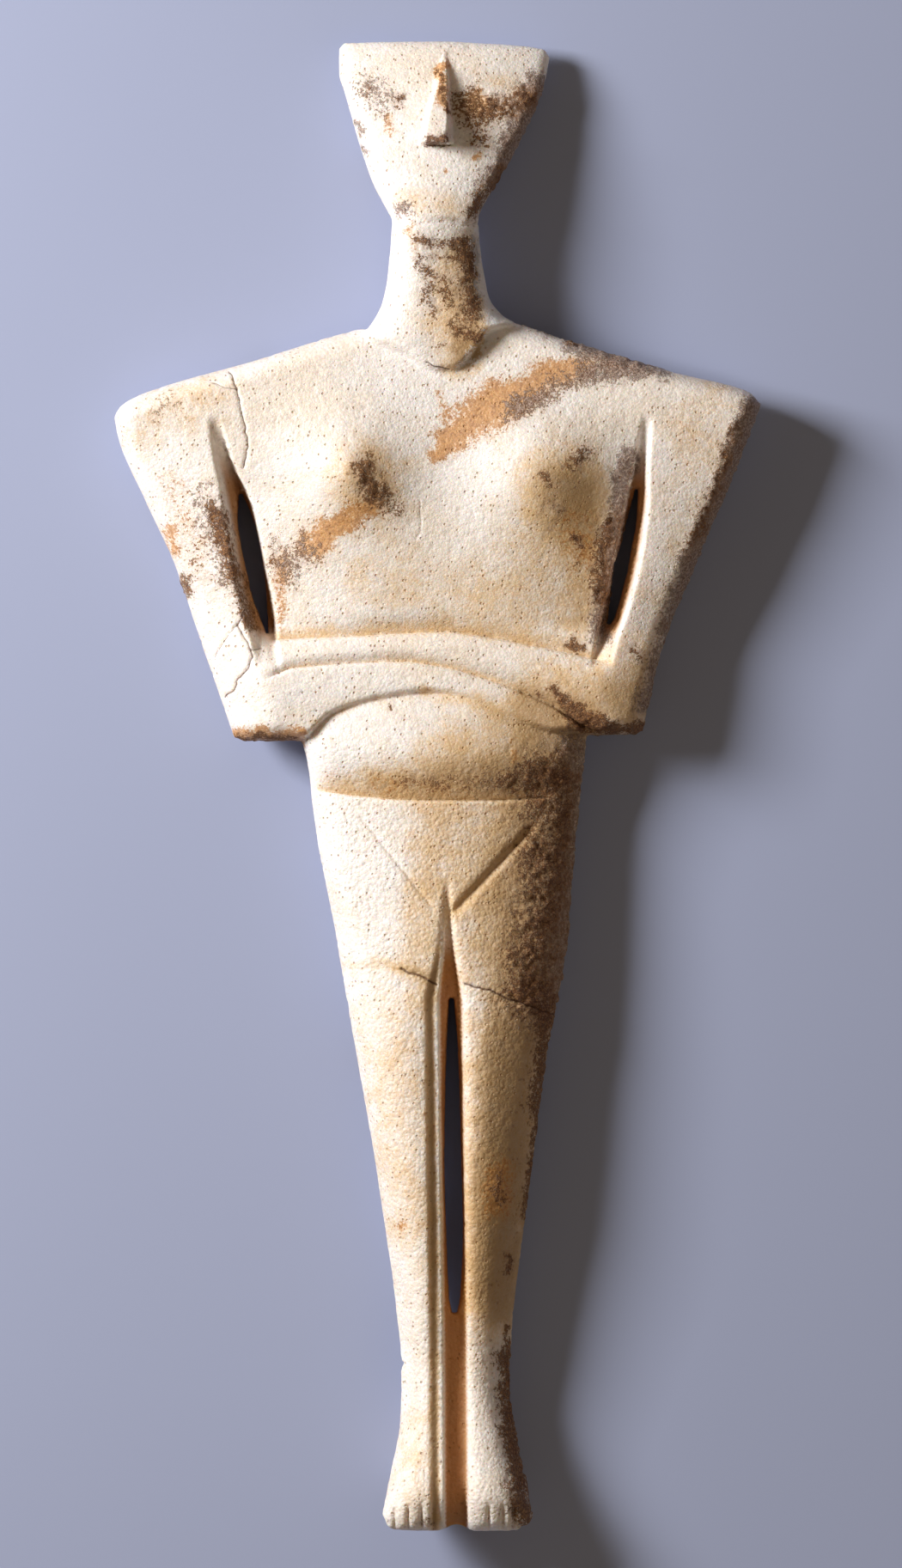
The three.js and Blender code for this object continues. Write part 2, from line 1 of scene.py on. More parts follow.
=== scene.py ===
"""Looks of a marble figurine with folded arms that lies on its back, face up.

The figurine is one carved piece. Its front and back are heights over a plan, both worked out as
functions of two numbers: how far across the figure a place lies and how far along it. Both are given
in thousandths of the figure's height, from its middle, and so are all heights above the ground.
"""
from __future__ import annotations

import logging
import math
from dataclasses import dataclass, field
from enum import Enum
from typing import ClassVar

import bpy
import numpy as np
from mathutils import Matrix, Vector
from mathutils.geometry import delaunay_2d_cdt


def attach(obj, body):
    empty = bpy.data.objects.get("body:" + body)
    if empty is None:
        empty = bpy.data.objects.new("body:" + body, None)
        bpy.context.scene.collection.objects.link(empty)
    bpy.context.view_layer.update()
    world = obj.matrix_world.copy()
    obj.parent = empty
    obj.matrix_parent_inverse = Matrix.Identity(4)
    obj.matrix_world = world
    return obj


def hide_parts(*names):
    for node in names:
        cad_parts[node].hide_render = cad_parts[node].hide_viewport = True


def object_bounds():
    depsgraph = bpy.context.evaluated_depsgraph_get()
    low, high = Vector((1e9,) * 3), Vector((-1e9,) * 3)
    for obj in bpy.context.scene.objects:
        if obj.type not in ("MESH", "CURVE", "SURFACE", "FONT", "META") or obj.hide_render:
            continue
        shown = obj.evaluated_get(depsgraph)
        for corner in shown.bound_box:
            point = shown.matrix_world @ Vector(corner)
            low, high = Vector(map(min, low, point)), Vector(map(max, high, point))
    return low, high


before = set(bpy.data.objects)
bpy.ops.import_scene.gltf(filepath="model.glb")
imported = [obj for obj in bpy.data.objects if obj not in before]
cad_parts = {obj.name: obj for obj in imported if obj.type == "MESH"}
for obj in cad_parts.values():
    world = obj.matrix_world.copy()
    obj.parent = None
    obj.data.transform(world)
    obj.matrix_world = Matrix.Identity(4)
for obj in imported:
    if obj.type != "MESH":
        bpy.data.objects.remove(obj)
CAD_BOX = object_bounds()

LOG = logging.getLogger("figurine")
NODE = "figurine"
BODY = "root"

# One thousandth of the figure's height, in metres
SHARE = (CAD_BOX[1].y - CAD_BOX[0].y) / 1000
# How full the rounded edges are: 2 is a quarter circle, more is squarer
FULLNESS = 2.3
# A height that stands for no stone at all
NOWHERE = 1000.0
# Large odd numbers that mix a lattice corner's three whole numbers and the seed
MIXERS = (73856093, 19349663, 83492791, 97531)
# Shifts and factors that stir the mixed bits
STIRS = ((13, 1274126177), (16, 2246822519))
LOW_32_BITS = 0xFFFFFFFF
LOW_16_BITS = 0xFFFF
# A pit's smallest radius and what chance may add to it, as shares of its cell
PIT_RADII = (0.14, 0.26)
# How many places are measured against the outline at once
BATCH = 4000

Colour = tuple[float, float, float, float]


@dataclass(frozen=True)
class Line:
    """A smooth line through known points that never overshoots them."""

    points: tuple[tuple[float, float], ...]

    def __call__(self, at: np.ndarray | float) -> np.ndarray:
        """Reads the line.

        Between two points it is a cubic whose end slopes are the harmonic means of the slopes of
        the neighbouring stretches, or flat where those turn round.

        Args:
            at: The inputs to read it at. Outside the points the end values hold.

        Returns:
            The line's value at each input.
        """
        known = np.array(self.points, dtype=float)
        inputs, outputs = known[:, 0], known[:, 1]
        runs = np.diff(inputs)
        slopes = np.diff(outputs) / runs
        product = slopes[:-1] * slopes[1:]
        total = np.where(product > 0, slopes[:-1] + slopes[1:], 1.0)
        inner = np.where(product > 0, 2 * product / total, 0.0)
        tangents = np.concatenate([slopes[:1], inner, slopes[-1:]])
        held = np.clip(at, inputs[0], inputs[-1])
        i = np.clip(np.searchsorted(inputs, held, side="right") - 1, 0, len(runs) - 1)
        t = (held - inputs[i]) / runs[i]
        ease = t * t * (3 - 2 * t)
        bend = runs[i] * t * (1 - t) * (tangents[i] * (1 - t) - tangents[i + 1] * t)
        return outputs[i] * (1 - ease) + outputs[i + 1] * ease + bend


def line(*points: tuple[float, float]) -> Line:
    """A line through the given points, each an input and an output."""
    return Line(points)


def smooth_step(low: float, high: float, value: np.ndarray) -> np.ndarray:
    """0 up to low, 1 from high, and 3t^2 - 2t^3 between them."""
    t = np.clip((value - low) / (high - low), 0, 1)
    return t * t * (3 - 2 * t)


def rise(distance: np.ndarray, edge: np.ndarray | float) -> np.ndarray:
    """How far a surface has risen at a distance from its outline: a superellipse's quarter."""
    rest = 1 - np.clip(distance / edge, 0, 1)
    return (1 - rest ** FULLNESS) ** (1 / FULLNESS)


def soft_max(first: np.ndarray, second: np.ndarray, reach: np.ndarray | float) -> np.ndarray:
    """The higher of two surfaces, with a fillet where they differ by less than reach."""
    near = np.clip(1 - np.abs(first - second) / reach, 0, 1)
    return np.maximum(first, second) + reach / 4 * near * near


def notch(offset: np.ndarray, slope: float, step: float, swell: float = 0.0) -> np.ndarray:
    """A notch 1 deep on its line: curved above it, and below it a short step and a long swelling.

    Above the line it is (1 - d / slope)^2. Below the line the step takes back all but a third in a
    straight rise, and the rest follows (1 - d / swell)^2. With no swell the step takes back all.

    Args:
        offset: Distances above the line.
        slope: How far the notch reaches above the line.
        step: How far the step reaches below it.
        swell: How far the swelling reaches below it.

    Returns:
        The share of the notch's depth.
    """
    above = np.clip(1 - offset / slope, 0, 1) ** 2
    below = np.clip(1 + offset / step, 0, 1)
    if swell:
        below = (2 * below + np.clip(1 + offset / swell, 0, 1) ** 2) / 3
    return np.where(offset >= 0, above, below)


def value_noise(places: np.ndarray, cell: float, seed: int) -> np.ndarray:
    """Smooth random values.

    Each corner of a cubic lattice holds a value mixed from its three whole numbers, and the eight
    corners round a place are blended with 3t^2 - 2t^3 along each axis.

    Args:
        places: Places as rows of three numbers.
        cell: The lattice's pitch, in the places' unit.
        seed: A number that tells one noise from another.

    Returns:
        A value from -1 to 1 for each place.
    """
    scaled = places / cell
    low = np.floor(scaled).astype(np.int64)
    ease = scaled - low
    ease = ease * ease * (3 - 2 * ease)
    total = np.zeros(len(places))
    for corner in np.ndindex(2, 2, 2):
        at = low + np.array(corner)
        mixed = at[:, 0] * MIXERS[0] ^ at[:, 1] * MIXERS[1] ^ at[:, 2] * MIXERS[2] ^ seed * MIXERS[3]
        for shift, factor in STIRS:
            mixed = (mixed ^ (mixed >> shift)) * factor & LOW_32_BITS
        value = (mixed >> 8 & LOW_16_BITS) / (LOW_16_BITS >> 1) - 1
        share = np.where(np.array(corner), ease, 1 - ease).prod(axis=1)
        total += value * share
    return total


def layered_noise(places: np.ndarray, cell: float, seed: int, layers: int = 3) -> np.ndarray:
    """Value noise in layers, each with half the pitch and half the strength of the one before."""
    parts = [value_noise(places, cell / 2 ** i, seed + i) / 2 ** i for i in range(layers)]
    return np.sum(parts, axis=0)


def pits(x: np.ndarray, y: np.ndarray, cell: float, chance: float, seed: int) -> np.ndarray:
    """Scattered small round pits.

    Each square cell of a grid holds a pit with some chance. A pit's place in its cell and its
    radius are random, and its depth is 1 - (distance / radius)^2 times the radius.

    Args:
        x: Places across.
        y: Places along.
        cell: The grid's pitch.
        chance: The share of cells with a pit, from 0 to 1.
        seed: A number that tells one field of pits from another.

    Returns:
        The depth at each place.
    """
    low_x, low_y = np.floor(x / cell), np.floor(y / cell)
    depth = np.zeros(len(x))
    for shift_x, shift_y in np.ndindex(3, 3):
        at_x, at_y = low_x + shift_x - 1, low_y + shift_y - 1
        corner = np.stack([at_x, at_y, np.full(len(x), 1.0)], axis=1)
        draw = [value_noise(corner, 1.0, seed + i) / 2 + 0.5 for i in range(4)]
        radius = cell * (PIT_RADII[0] + PIT_RADII[1] * draw[2])
        away = np.hypot(x - cell * (at_x + draw[0]), y - cell * (at_y + draw[1])) / radius
        depth = np.maximum(depth, np.clip(1 - away ** 2, 0, 1) * radius * (draw[3] < chance))
    return depth


@dataclass(frozen=True)
class Noise:
    """Layered noise with its strength, pitch, seed and number of layers."""

    strength: float
    cell: float
    seed: int
    layers: int = 3

    def at(self, places: np.ndarray) -> np.ndarray:
        """The noise at places, which are rows of three numbers."""
        return self.strength * layered_noise(places, self.cell, self.seed, self.layers)


@dataclass(frozen=True)
class PitField:
    """Scattered pits with their strength, pitch, chance and seed."""

    strength: float
    cell: float
    chance: float
    seed: int

    def at(self, x: np.ndarray, y: np.ndarray) -> np.ndarray:
        """The pits' depth at places."""
        return self.strength * pits(x, y, self.cell, self.chance, self.seed)


def spaced(path: np.ndarray, step: float) -> np.ndarray:
    """Points at even distances along an open path of straight pieces.

    Args:
        path: The path's corners as rows.
        step: About how far apart the points are.

    Returns:
        The points as rows, with both ends among them.
    """
    runs = np.hypot(*np.diff(path, axis=0).T)
    length = np.concatenate([[0], np.cumsum(runs)])
    at = np.linspace(0, length[-1], max(int(round(length[-1] / step)), 1) + 1)
    return np.stack([np.interp(at, length, path[:, i]) for i in (0, 1)], axis=1)


def distance_to_path(x: np.ndarray, y: np.ndarray, path: np.ndarray) -> np.ndarray:
    """How far places lie from a path of straight pieces, in the plan.

    Args:
        x: Places across.
        y: Places along.
        path: The path's corners as rows.

    Returns:
        The distance of each place.
    """
    best = np.full(len(x), np.inf)
    for start, end in zip(path[:-1], path[1:]):
        run = end - start
        share = ((x - start[0]) * run[0] + (y - start[1]) * run[1]) / max(run @ run, 1e-9)
        share = np.clip(share, 0, 1)
        away = np.hypot(x - start[0] - share * run[0], y - start[1] - share * run[1])
        best = np.minimum(best, away)
    return best


@dataclass(frozen=True)
class Block:
    """A pillow of stone between four outline lines, rounded over at its edges."""

    left: Line
    right: Line
    top: Line
    bottom: Line
    brim: ClassVar[float] = 2.5

    def edges(self, x: np.ndarray, y: np.ndarray) -> tuple[np.ndarray | float, ...]:
        """Widths of the rounded edges: left, right, top and bottom."""
        raise NotImplementedError

    def front(self, x: np.ndarray, y: np.ndarray) -> np.ndarray:
        """Height of the front, before its edges are rounded."""
        raise NotImplementedError

    def back(self, x: np.ndarray, y: np.ndarray) -> np.ndarray:
        """Height of the back, before its edges are rounded."""
        raise NotImplementedError

    def depths(self, x: np.ndarray, y: np.ndarray) -> tuple[np.ndarray, ...]:
        """How far inside each of the four outline lines a place lies."""
        return x - self.left(y), self.right(y) - x, self.top(x) - y, y - self.bottom(x)

    def inside(self, x: np.ndarray, y: np.ndarray) -> np.ndarray:
        """How far inside the block a place lies; below zero it is outside."""
        return np.minimum.reduce(self.depths(x, y))

    def middle(self, x: np.ndarray, y: np.ndarray) -> np.ndarray:
        """Height halfway between the back and the front."""
        return (self.front(x, y) + self.back(x, y)) / 2

    def share_across(self, x: np.ndarray, y: np.ndarray) -> np.ndarray:
        """How far across a place lies, from -1 on the left outline to 1 on the right one."""
        left, right = self.left(y), self.right(y)
        return np.clip((2 * x - left - right) / (right - left), -1, 1)

    def surfaces(self, x: np.ndarray, y: np.ndarray) -> tuple[np.ndarray, np.ndarray]:
        """Heights of the rounded front and back: the middle plus the rest times each edge's rise.

        Args:
            x: Places across.
            y: Places along.

        Returns:
            The front's and the back's heights, far below and above where there is no stone.
        """
        middle = self.middle(x, y)
        risen = np.prod([rise(d, e) for d, e in zip(self.depths(x, y), self.edges(x, y))], axis=0)
        stone = self.inside(x, y) >= -self.brim
        front = middle + (self.front(x, y) - middle) * risen
        back = middle + (self.back(x, y) - middle) * risen
        return np.where(stone, front, -NOWHERE), np.where(stone, back, NOWHERE)


@dataclass(frozen=True)
class Nose:
    """A long wedge with a narrow front facet and a flat underside."""

    top: float = 492
    base: float = 430.5
    projection: float = 22
    underside: float = 1.2
    ridge_left: Line = line((430, -8), (450, -5), (470, 0), (492, 4.5))
    ridge_right: Line = line((430, 5), (450, 6), (470, 6), (492, 5.5))
    flank_left: Line = line((430, -12), (470, -3), (492, 3.5))
    flank_right: Line = line((430, 12), (470, 9), (492, 6.5))
    roundness: float = 1.2
    growth: float = 0.9

    def height(self, x: np.ndarray, y: np.ndarray) -> np.ndarray:
        """How far the nose stands above the face.

        It is the projection times a power of the share of the way down from the top, times a
        flank that rises from the face to the facet as a power of the sine of a quarter turn,
        times the cliff of the underside.

        Args:
            x: Places across.
            y: Places along.

        Returns:
            The value at each place.
        """
        grown = np.clip((self.top - y) / (self.top - self.base), 0, 1)
        cliff = smooth_step(self.base - self.underside, self.base + self.underside, y)
        left = (x - self.flank_left(y)) / (self.ridge_left(y) - self.flank_left(y))
        right = (self.flank_right(y) - x) / (self.flank_right(y) - self.ridge_right(y))
        flank = np.clip(np.minimum(left, right), 0, 1)
        eased = np.sin(flank * math.pi / 2) ** self.roundness
        return self.projection * grown ** self.growth * eased * cliff


@dataclass(frozen=True)
class Head(Block):
    """The wedge-shaped head, tilted back, with a flat crown and a flat face."""

    left: Line = line((372, -30), (380, -30.5), (384, -32.5), (404, -43), (423, -50), (465, -62),
                      (479, -66), (495, -66))
    right: Line = line((372, 27), (382, 27.5), (394, 33.5), (421, 49), (447, 62), (469, 71), (490, 76))
    top: Line = line((-66, 495), (-62, 499), (0, 500), (41, 498), (71, 495), (76, 489))
    bottom: Line = line((-30, 374), (0, 377), (27, 375))
    face: Line = line((370, 69), (500, 27))
    nape: Line = line((372, 18), (400, 10), (440, 4), (500, 6))
    edge: float = 15
    right_edge: float = 9
    chin_edge: float = 6
    crown_bulge: float = 3
    cheek_fall: float = 9
    nose: Nose = Nose()

    def edges(self, x: np.ndarray, y: np.ndarray) -> tuple[np.ndarray | float, ...]:
        """Soft cheeks and crown, and a tighter chin."""
        return self.edge, self.right_edge, self.edge, self.chin_edge

    def front(self, x: np.ndarray, y: np.ndarray) -> np.ndarray:
        """The tilted face, falling to the cheeks with the square of the share across, plus the nose."""
        across = self.share_across(x, y)
        return self.face(y) - self.cheek_fall * across ** 2 + self.nose.height(x, y)

    def back(self, x: np.ndarray, y: np.ndarray) -> np.ndarray:
        """The nape's profile, lifted a little at the sides."""
        return self.nape(y) + self.crown_bulge * self.share_across(x, y) ** 2


@dataclass(frozen=True)
class Neck(Block):
    """The neck, which runs down over the chest as a tongue."""

    left: Line = line((300, -52), (315, -41), (324, -37), (338, -34), (365, -31), (392, -30))
    right: Line = line((308, 57), (315, 44), (327, 35), (340, 32), (366, 28), (392, 27))
    top: Line = line((-30, 394), (27, 394))
    bottom: Line = line((-52, 301), (-23, 288), (0, 276), (10, 276), (21, 284), (36, 302), (57, 308))
    throat: Line = line((275, 61), (311, 64), (345, 63), (372, 65.5), (382, 64), (394, 60))
    nape: Line = line((276, 12), (311, 10), (340, 18), (394, 20))
    edge_left: Line = line((285, 48), (330, 24))
    edge_right: Line = line((285, 34), (330, 46))
    tongue_edge: float = 7

    def edges(self, x: np.ndarray, y: np.ndarray) -> tuple[np.ndarray | float, ...]:
        """Almost round across, with a crisp tip."""
        return self.edge_left(y), self.edge_right(y), self.tongue_edge, self.tongue_edge

    def front(self, x: np.ndarray, y: np.ndarray) -> np.ndarray:
        """The throat's profile."""
        return self.throat(y) + 0 * x

    def back(self, x: np.ndarray, y: np.ndarray) -> np.ndarray:
        """The nape's profile."""
        return self.nape(y) + 0 * x


@dataclass(frozen=True)
class Swelling:
    """A low round breast, given by its middle, height and reach."""

    across: float
    along: float
    height: float
    reach: float
    sharpness: float = 1.6

    def rise_at(self, x: np.ndarray, y: np.ndarray) -> np.ndarray:
        """The height times exp(-(distance / reach)^sharpness)."""
        away = np.hypot(x - self.across, y - self.along) / self.reach
        return self.height * np.exp(-(away ** self.sharpness))


@dataclass(frozen=True)
class Channel:
    """A channel between an arm and the chest, steep on the chest's side and narrow at its top."""

    middle: Line
    towards_chest: int
    width: Line = line((98, 0.8), (130, 1), (180, 0.9), (215, 0.55), (248, 0.35))
    floor: float = 5.5
    chest_side: float = 8.5
    arm_side: float = 16
    front_depth: Line = line((78, 0), (98, 11), (112, 22), (190, 22), (222, 9), (248, 0))
    back_depth: Line = line((60, 0), (100, 7), (190, 7), (235, 0))

    def share(self, x: np.ndarray, y: np.ndarray) -> np.ndarray:
        """The share of the full depth: 1 on the floor, easing to 0 at either side.

        Args:
            x: Places across.
            y: Places along.

        Returns:
            The value at each place.
        """
        away = (x - self.middle(y)) * self.towards_chest / self.width(y)
        reach = np.where(away > 0, self.chest_side, self.arm_side) - self.floor
        return 1 - smooth_step(0, 1, (np.abs(away) - self.floor) / reach)


@dataclass(frozen=True)
class Chest(Block):
    """Chest, shoulders and folded arms, down to the lower edge of the forearms."""

    left: Line = line((31, -136), (77, -152), (124, -168), (147, -176), (193, -197), (236, -215),
                      (248, -217))
    right: Line = line((34, 137), (99, 153), (143, 171), (217, 202), (256, 217))
    top: Line = line((-217, 248), (-212, 255), (-200, 262), (-120, 286), (-54, 306), (0, 318),
                     (29, 318), (57, 309), (77, 302), (157, 278), (209, 264), (217, 256))
    bottom: Line = line((-136, 32), (-128, 30), (-91, 30), (-71, 45), (-45, 54), (-5, 60), (28, 53),
                        (64, 37), (80, 34), (130, 34), (137, 37))
    forearm_top: Line = line((-110, 98), (-63, 100), (6, 103), (37, 99), (79, 91), (112, 83))
    forearm_split: Line = line((-112, 73), (-95, 79), (-23, 83), (6, 79), (31, 72), (55, 63), (79, 52),
                               (99, 39), (112, 36))
    profile: Line = line((31, 60), (60, 61), (90, 59), (110, 56), (152, 58), (209, 59), (278, 55),
                         (320, 48))
    spine: Line = line((31, 6), (90, 2), (130, -1), (230, -1), (260, 1), (311, 9))
    edge: float = 14
    under_edge: Line = line((-104, 14), (-84, 7), (80, 7), (104, 14))
    arm_fall_left: Line = line((31, 12), (60, 15), (150, 17), (215, 11), (250, 4))
    arm_fall_right: Line = line((31, 12), (60, 12), (120, 10), (215, 6), (250, 4))
    torso_from: float = 25
    torso_fall: float = 13
    torso_blend: float = 4
    # Reaches and step of the ochre dirt and painted shade on the slopes above the grooves' steps
    dirt_and_shade_reaches: tuple[float, float] = (12, 9)
    dirt_and_shade_step: float = 0.6
    lift: float = 7
    breasts: tuple[Swelling, ...] = (Swelling(-60, 211, 20, 34), Swelling(70, 207, 15, 40, 2.0))
    channels: tuple[Channel, ...] = (
        Channel(line((31, -106), (77, -111), (101, -114), (141, -122), (187, -131), (222, -143),
                     (247, -149)), 1),
        Channel(line((31, 104), (84, 110), (118, 118), (141, 124), (187, 132.5), (222, 137),
                     (248, 141)), -1, arm_side=11),
    )
    channel_depth: float = 22
    groove_reach: Line = line((-118, 0), (-100, 1), (98, 1), (118, 0))
    top_groove: tuple[float, float, float, float] = (7.5, 18, 1.7, 14)
    split_depth: Line = line((-112, 4.6), (20, 5.4), (70, 8.1))
    split_slope: Line = line((-112, 9), (20, 11), (60, 20), (112, 24))
    split_reaches: tuple[float, float] = (1.7, 18)
    spine_middle: float = 2
    spine_groove: tuple[float, float] = (2.2, 5)
    spine_reach: Line = line((0, 0), (30, 1), (250, 1), (290, 0))

    def edges(self, x: np.ndarray, y: np.ndarray) -> tuple[np.ndarray | float, ...]:
        """Soft edges, and a crisper lower edge over the belly."""
        return self.edge, self.edge, self.edge, self.under_edge(x)

    def grooves(self, x: np.ndarray, y: np.ndarray) -> np.ndarray:
        """Depth of the stepped grooves over the forearms and between them.

        Args:
            x: Places across.
            y: Places along.

        Returns:
            The value at each place.
        """
        depth, *reaches = self.top_groove
        over = depth * notch(y - self.forearm_top(x), *reaches)
        split = notch(y - self.forearm_split(x), self.split_slope(x), *self.split_reaches)
        return (over + self.split_depth(x) * split) * self.groove_reach(x)

    def fall(self, x: np.ndarray, y: np.ndarray) -> np.ndarray:
        """How far the front falls away to the sides.

        The arms fall with the 1.5th power of the share across them, and the torso falls with the
        square of the way from its flat middle to the channels.

        Args:
            x: Places across.
            y: Places along.

        Returns:
            The value at each place.
        """
        away = np.abs(x)
        channel = np.where(x < 0, -self.channels[0].middle(y), self.channels[1].middle(y))
        outer = np.clip((away - channel) / (self.right(y) - channel), 0, 1)
        inner = np.clip((away - self.torso_from) / (channel - self.torso_from), 0, 1)
        torso = 1 - smooth_step(-self.torso_blend, self.torso_blend, away - channel)
        cut = self.channels[0].front_depth(y) / self.channel_depth
        arm = np.where(x < 0, self.arm_fall_left(y), self.arm_fall_right(y)) * outer ** 1.5
        return arm + self.torso_fall * cut * torso * inner ** 2

    def settled_dirt_and_shade(self, x: np.ndarray, y: np.ndarray) -> np.ndarray:
        """How much dirt and painted shade lie in the grooves at each place, on the slopes above their
        steps, which face away from the key light.

        Args:
            x: Places across.
            y: Places along.

        Returns:
            The value at each place.
        """
        grooves = (self.forearm_top, self.forearm_split)
        offsets = [y - groove(x) for groove in grooves]
        dirt_and_shade = [np.where(away > -self.dirt_and_shade_step, notch(away, reach, self.dirt_and_shade_step), 0)
                for away, reach in zip(offsets, self.dirt_and_shade_reaches)]
        return np.maximum.reduce(dirt_and_shade) * self.groove_reach(x)

    def channel_share(self, x: np.ndarray, y: np.ndarray) -> np.ndarray:
        """The share of a channel's full depth at each place."""
        return np.maximum.reduce([channel.share(x, y) for channel in self.channels])

    def front(self, x: np.ndarray, y: np.ndarray) -> np.ndarray:
        """The profile plus the breasts, less the fall to the arms, the grooves and the channels.

        Args:
            x: Places across.
            y: Places along.

        Returns:
            The value at each place.
        """
        breasts = np.sum([breast.rise_at(x, y) for breast in self.breasts], axis=0)
        channel = self.channels[0].front_depth(y) * self.channel_share(x, y)
        return self.profile(y) + breasts - self.fall(x, y) - self.grooves(x, y) - channel

    def back(self, x: np.ndarray, y: np.ndarray) -> np.ndarray:
        """The spine's profile plus the lift at the sides, the channels and the spine's groove.

        Args:
            x: Places across.
            y: Places along.

        Returns:
            The value at each place.
        """
        lift = self.lift * np.abs(x / self.right(y)) ** 3
        channel = self.channels[0].back_depth(y) * self.channel_share(x, y)
        depth, width = self.spine_groove
        groove = depth * self.spine_reach(y) * np.exp(-((x - self.spine_middle) / width) ** 2)
        return self.spine(y) + lift + channel + groove


@dataclass(frozen=True)
class Cleft:
    """The cleft between the legs, bevelled twice on the left and steep on the right."""

    middle: Line = line((-500, 13), (-353, 12), (-252, 10.5), (-143, 9), (-79, 7), (0, 6))
    width: Line = line((-143, 1), (-105, 0.45), (-61, 0.2), (-40, 0.4), (0, 1))
    front_depth: Line = line((-500, 22), (-450, 16), (-391, 13), (-353, 15), (-320, 19), (-200, 20),
                             (-143, 16), (-110, 9), (-83, 4), (-61, 0))
    back_depth: Line = line((-500, 4), (-391, 5), (-353, 7), (-150, 8), (-110, 6), (-60, 5), (-15, 0))
    section: Line = line((-18, 0), (-12, 0.26), (-9.2, 0.2), (-8, 0.3), (-6, 1), (6, 1), (8.3, 0.25),
                         (14, 0.07), (22, 0))
    bevel: tuple[float, float] = (-14.5, 3.2)
    bevel_fades: tuple[float, float] = (-90, -125)
    dark_depth: float = 14

    def share(self, x: np.ndarray, y: np.ndarray) -> np.ndarray:
        """The share of the full depth at each place."""
        return self.section((x - self.middle(y)) / self.width(y))

    def bevel_share(self, x: np.ndarray, y: np.ndarray) -> np.ndarray:
        """The left bevel: exp(-(distance / width)^2), fading out above the thighs.

        Args:
            x: Places across.
            y: Places along.

        Returns:
            The value at each place.
        """
        middle, width = self.bevel
        away = ((x - self.middle(y)) / self.width(y) - middle) / width
        return np.exp(-away ** 2) * smooth_step(*self.bevel_fades, y)


@dataclass(frozen=True)
class Incision:
    """A straight V-shaped line, cut into the front."""

    start: tuple[float, float]
    end: tuple[float, float]
    depth: float
    width: float
    first_fade: tuple[float, float] = (-0.02, 0.12)
    last_fade: tuple[float, float] = (-0.02, 0.06)

    def depth_at(self, x: np.ndarray, y: np.ndarray) -> np.ndarray:
        """The depth times exp(-(distance / width)^2), fading towards both ends.

        Args:
            x: Places across.
            y: Places along.

        Returns:
            The value at each place.
        """
        start, end = np.array(self.start), np.array(self.end)
        run = end - start
        share = ((x - start[0]) * run[0] + (y - start[1]) * run[1]) / (run @ run)
        away = distance_to_path(x, y, np.array([start, end]))
        fade = smooth_step(*self.first_fade, share) * smooth_step(*self.last_fade, 1 - share)
        return self.depth * fade * np.exp(-(away / self.width) ** 2)


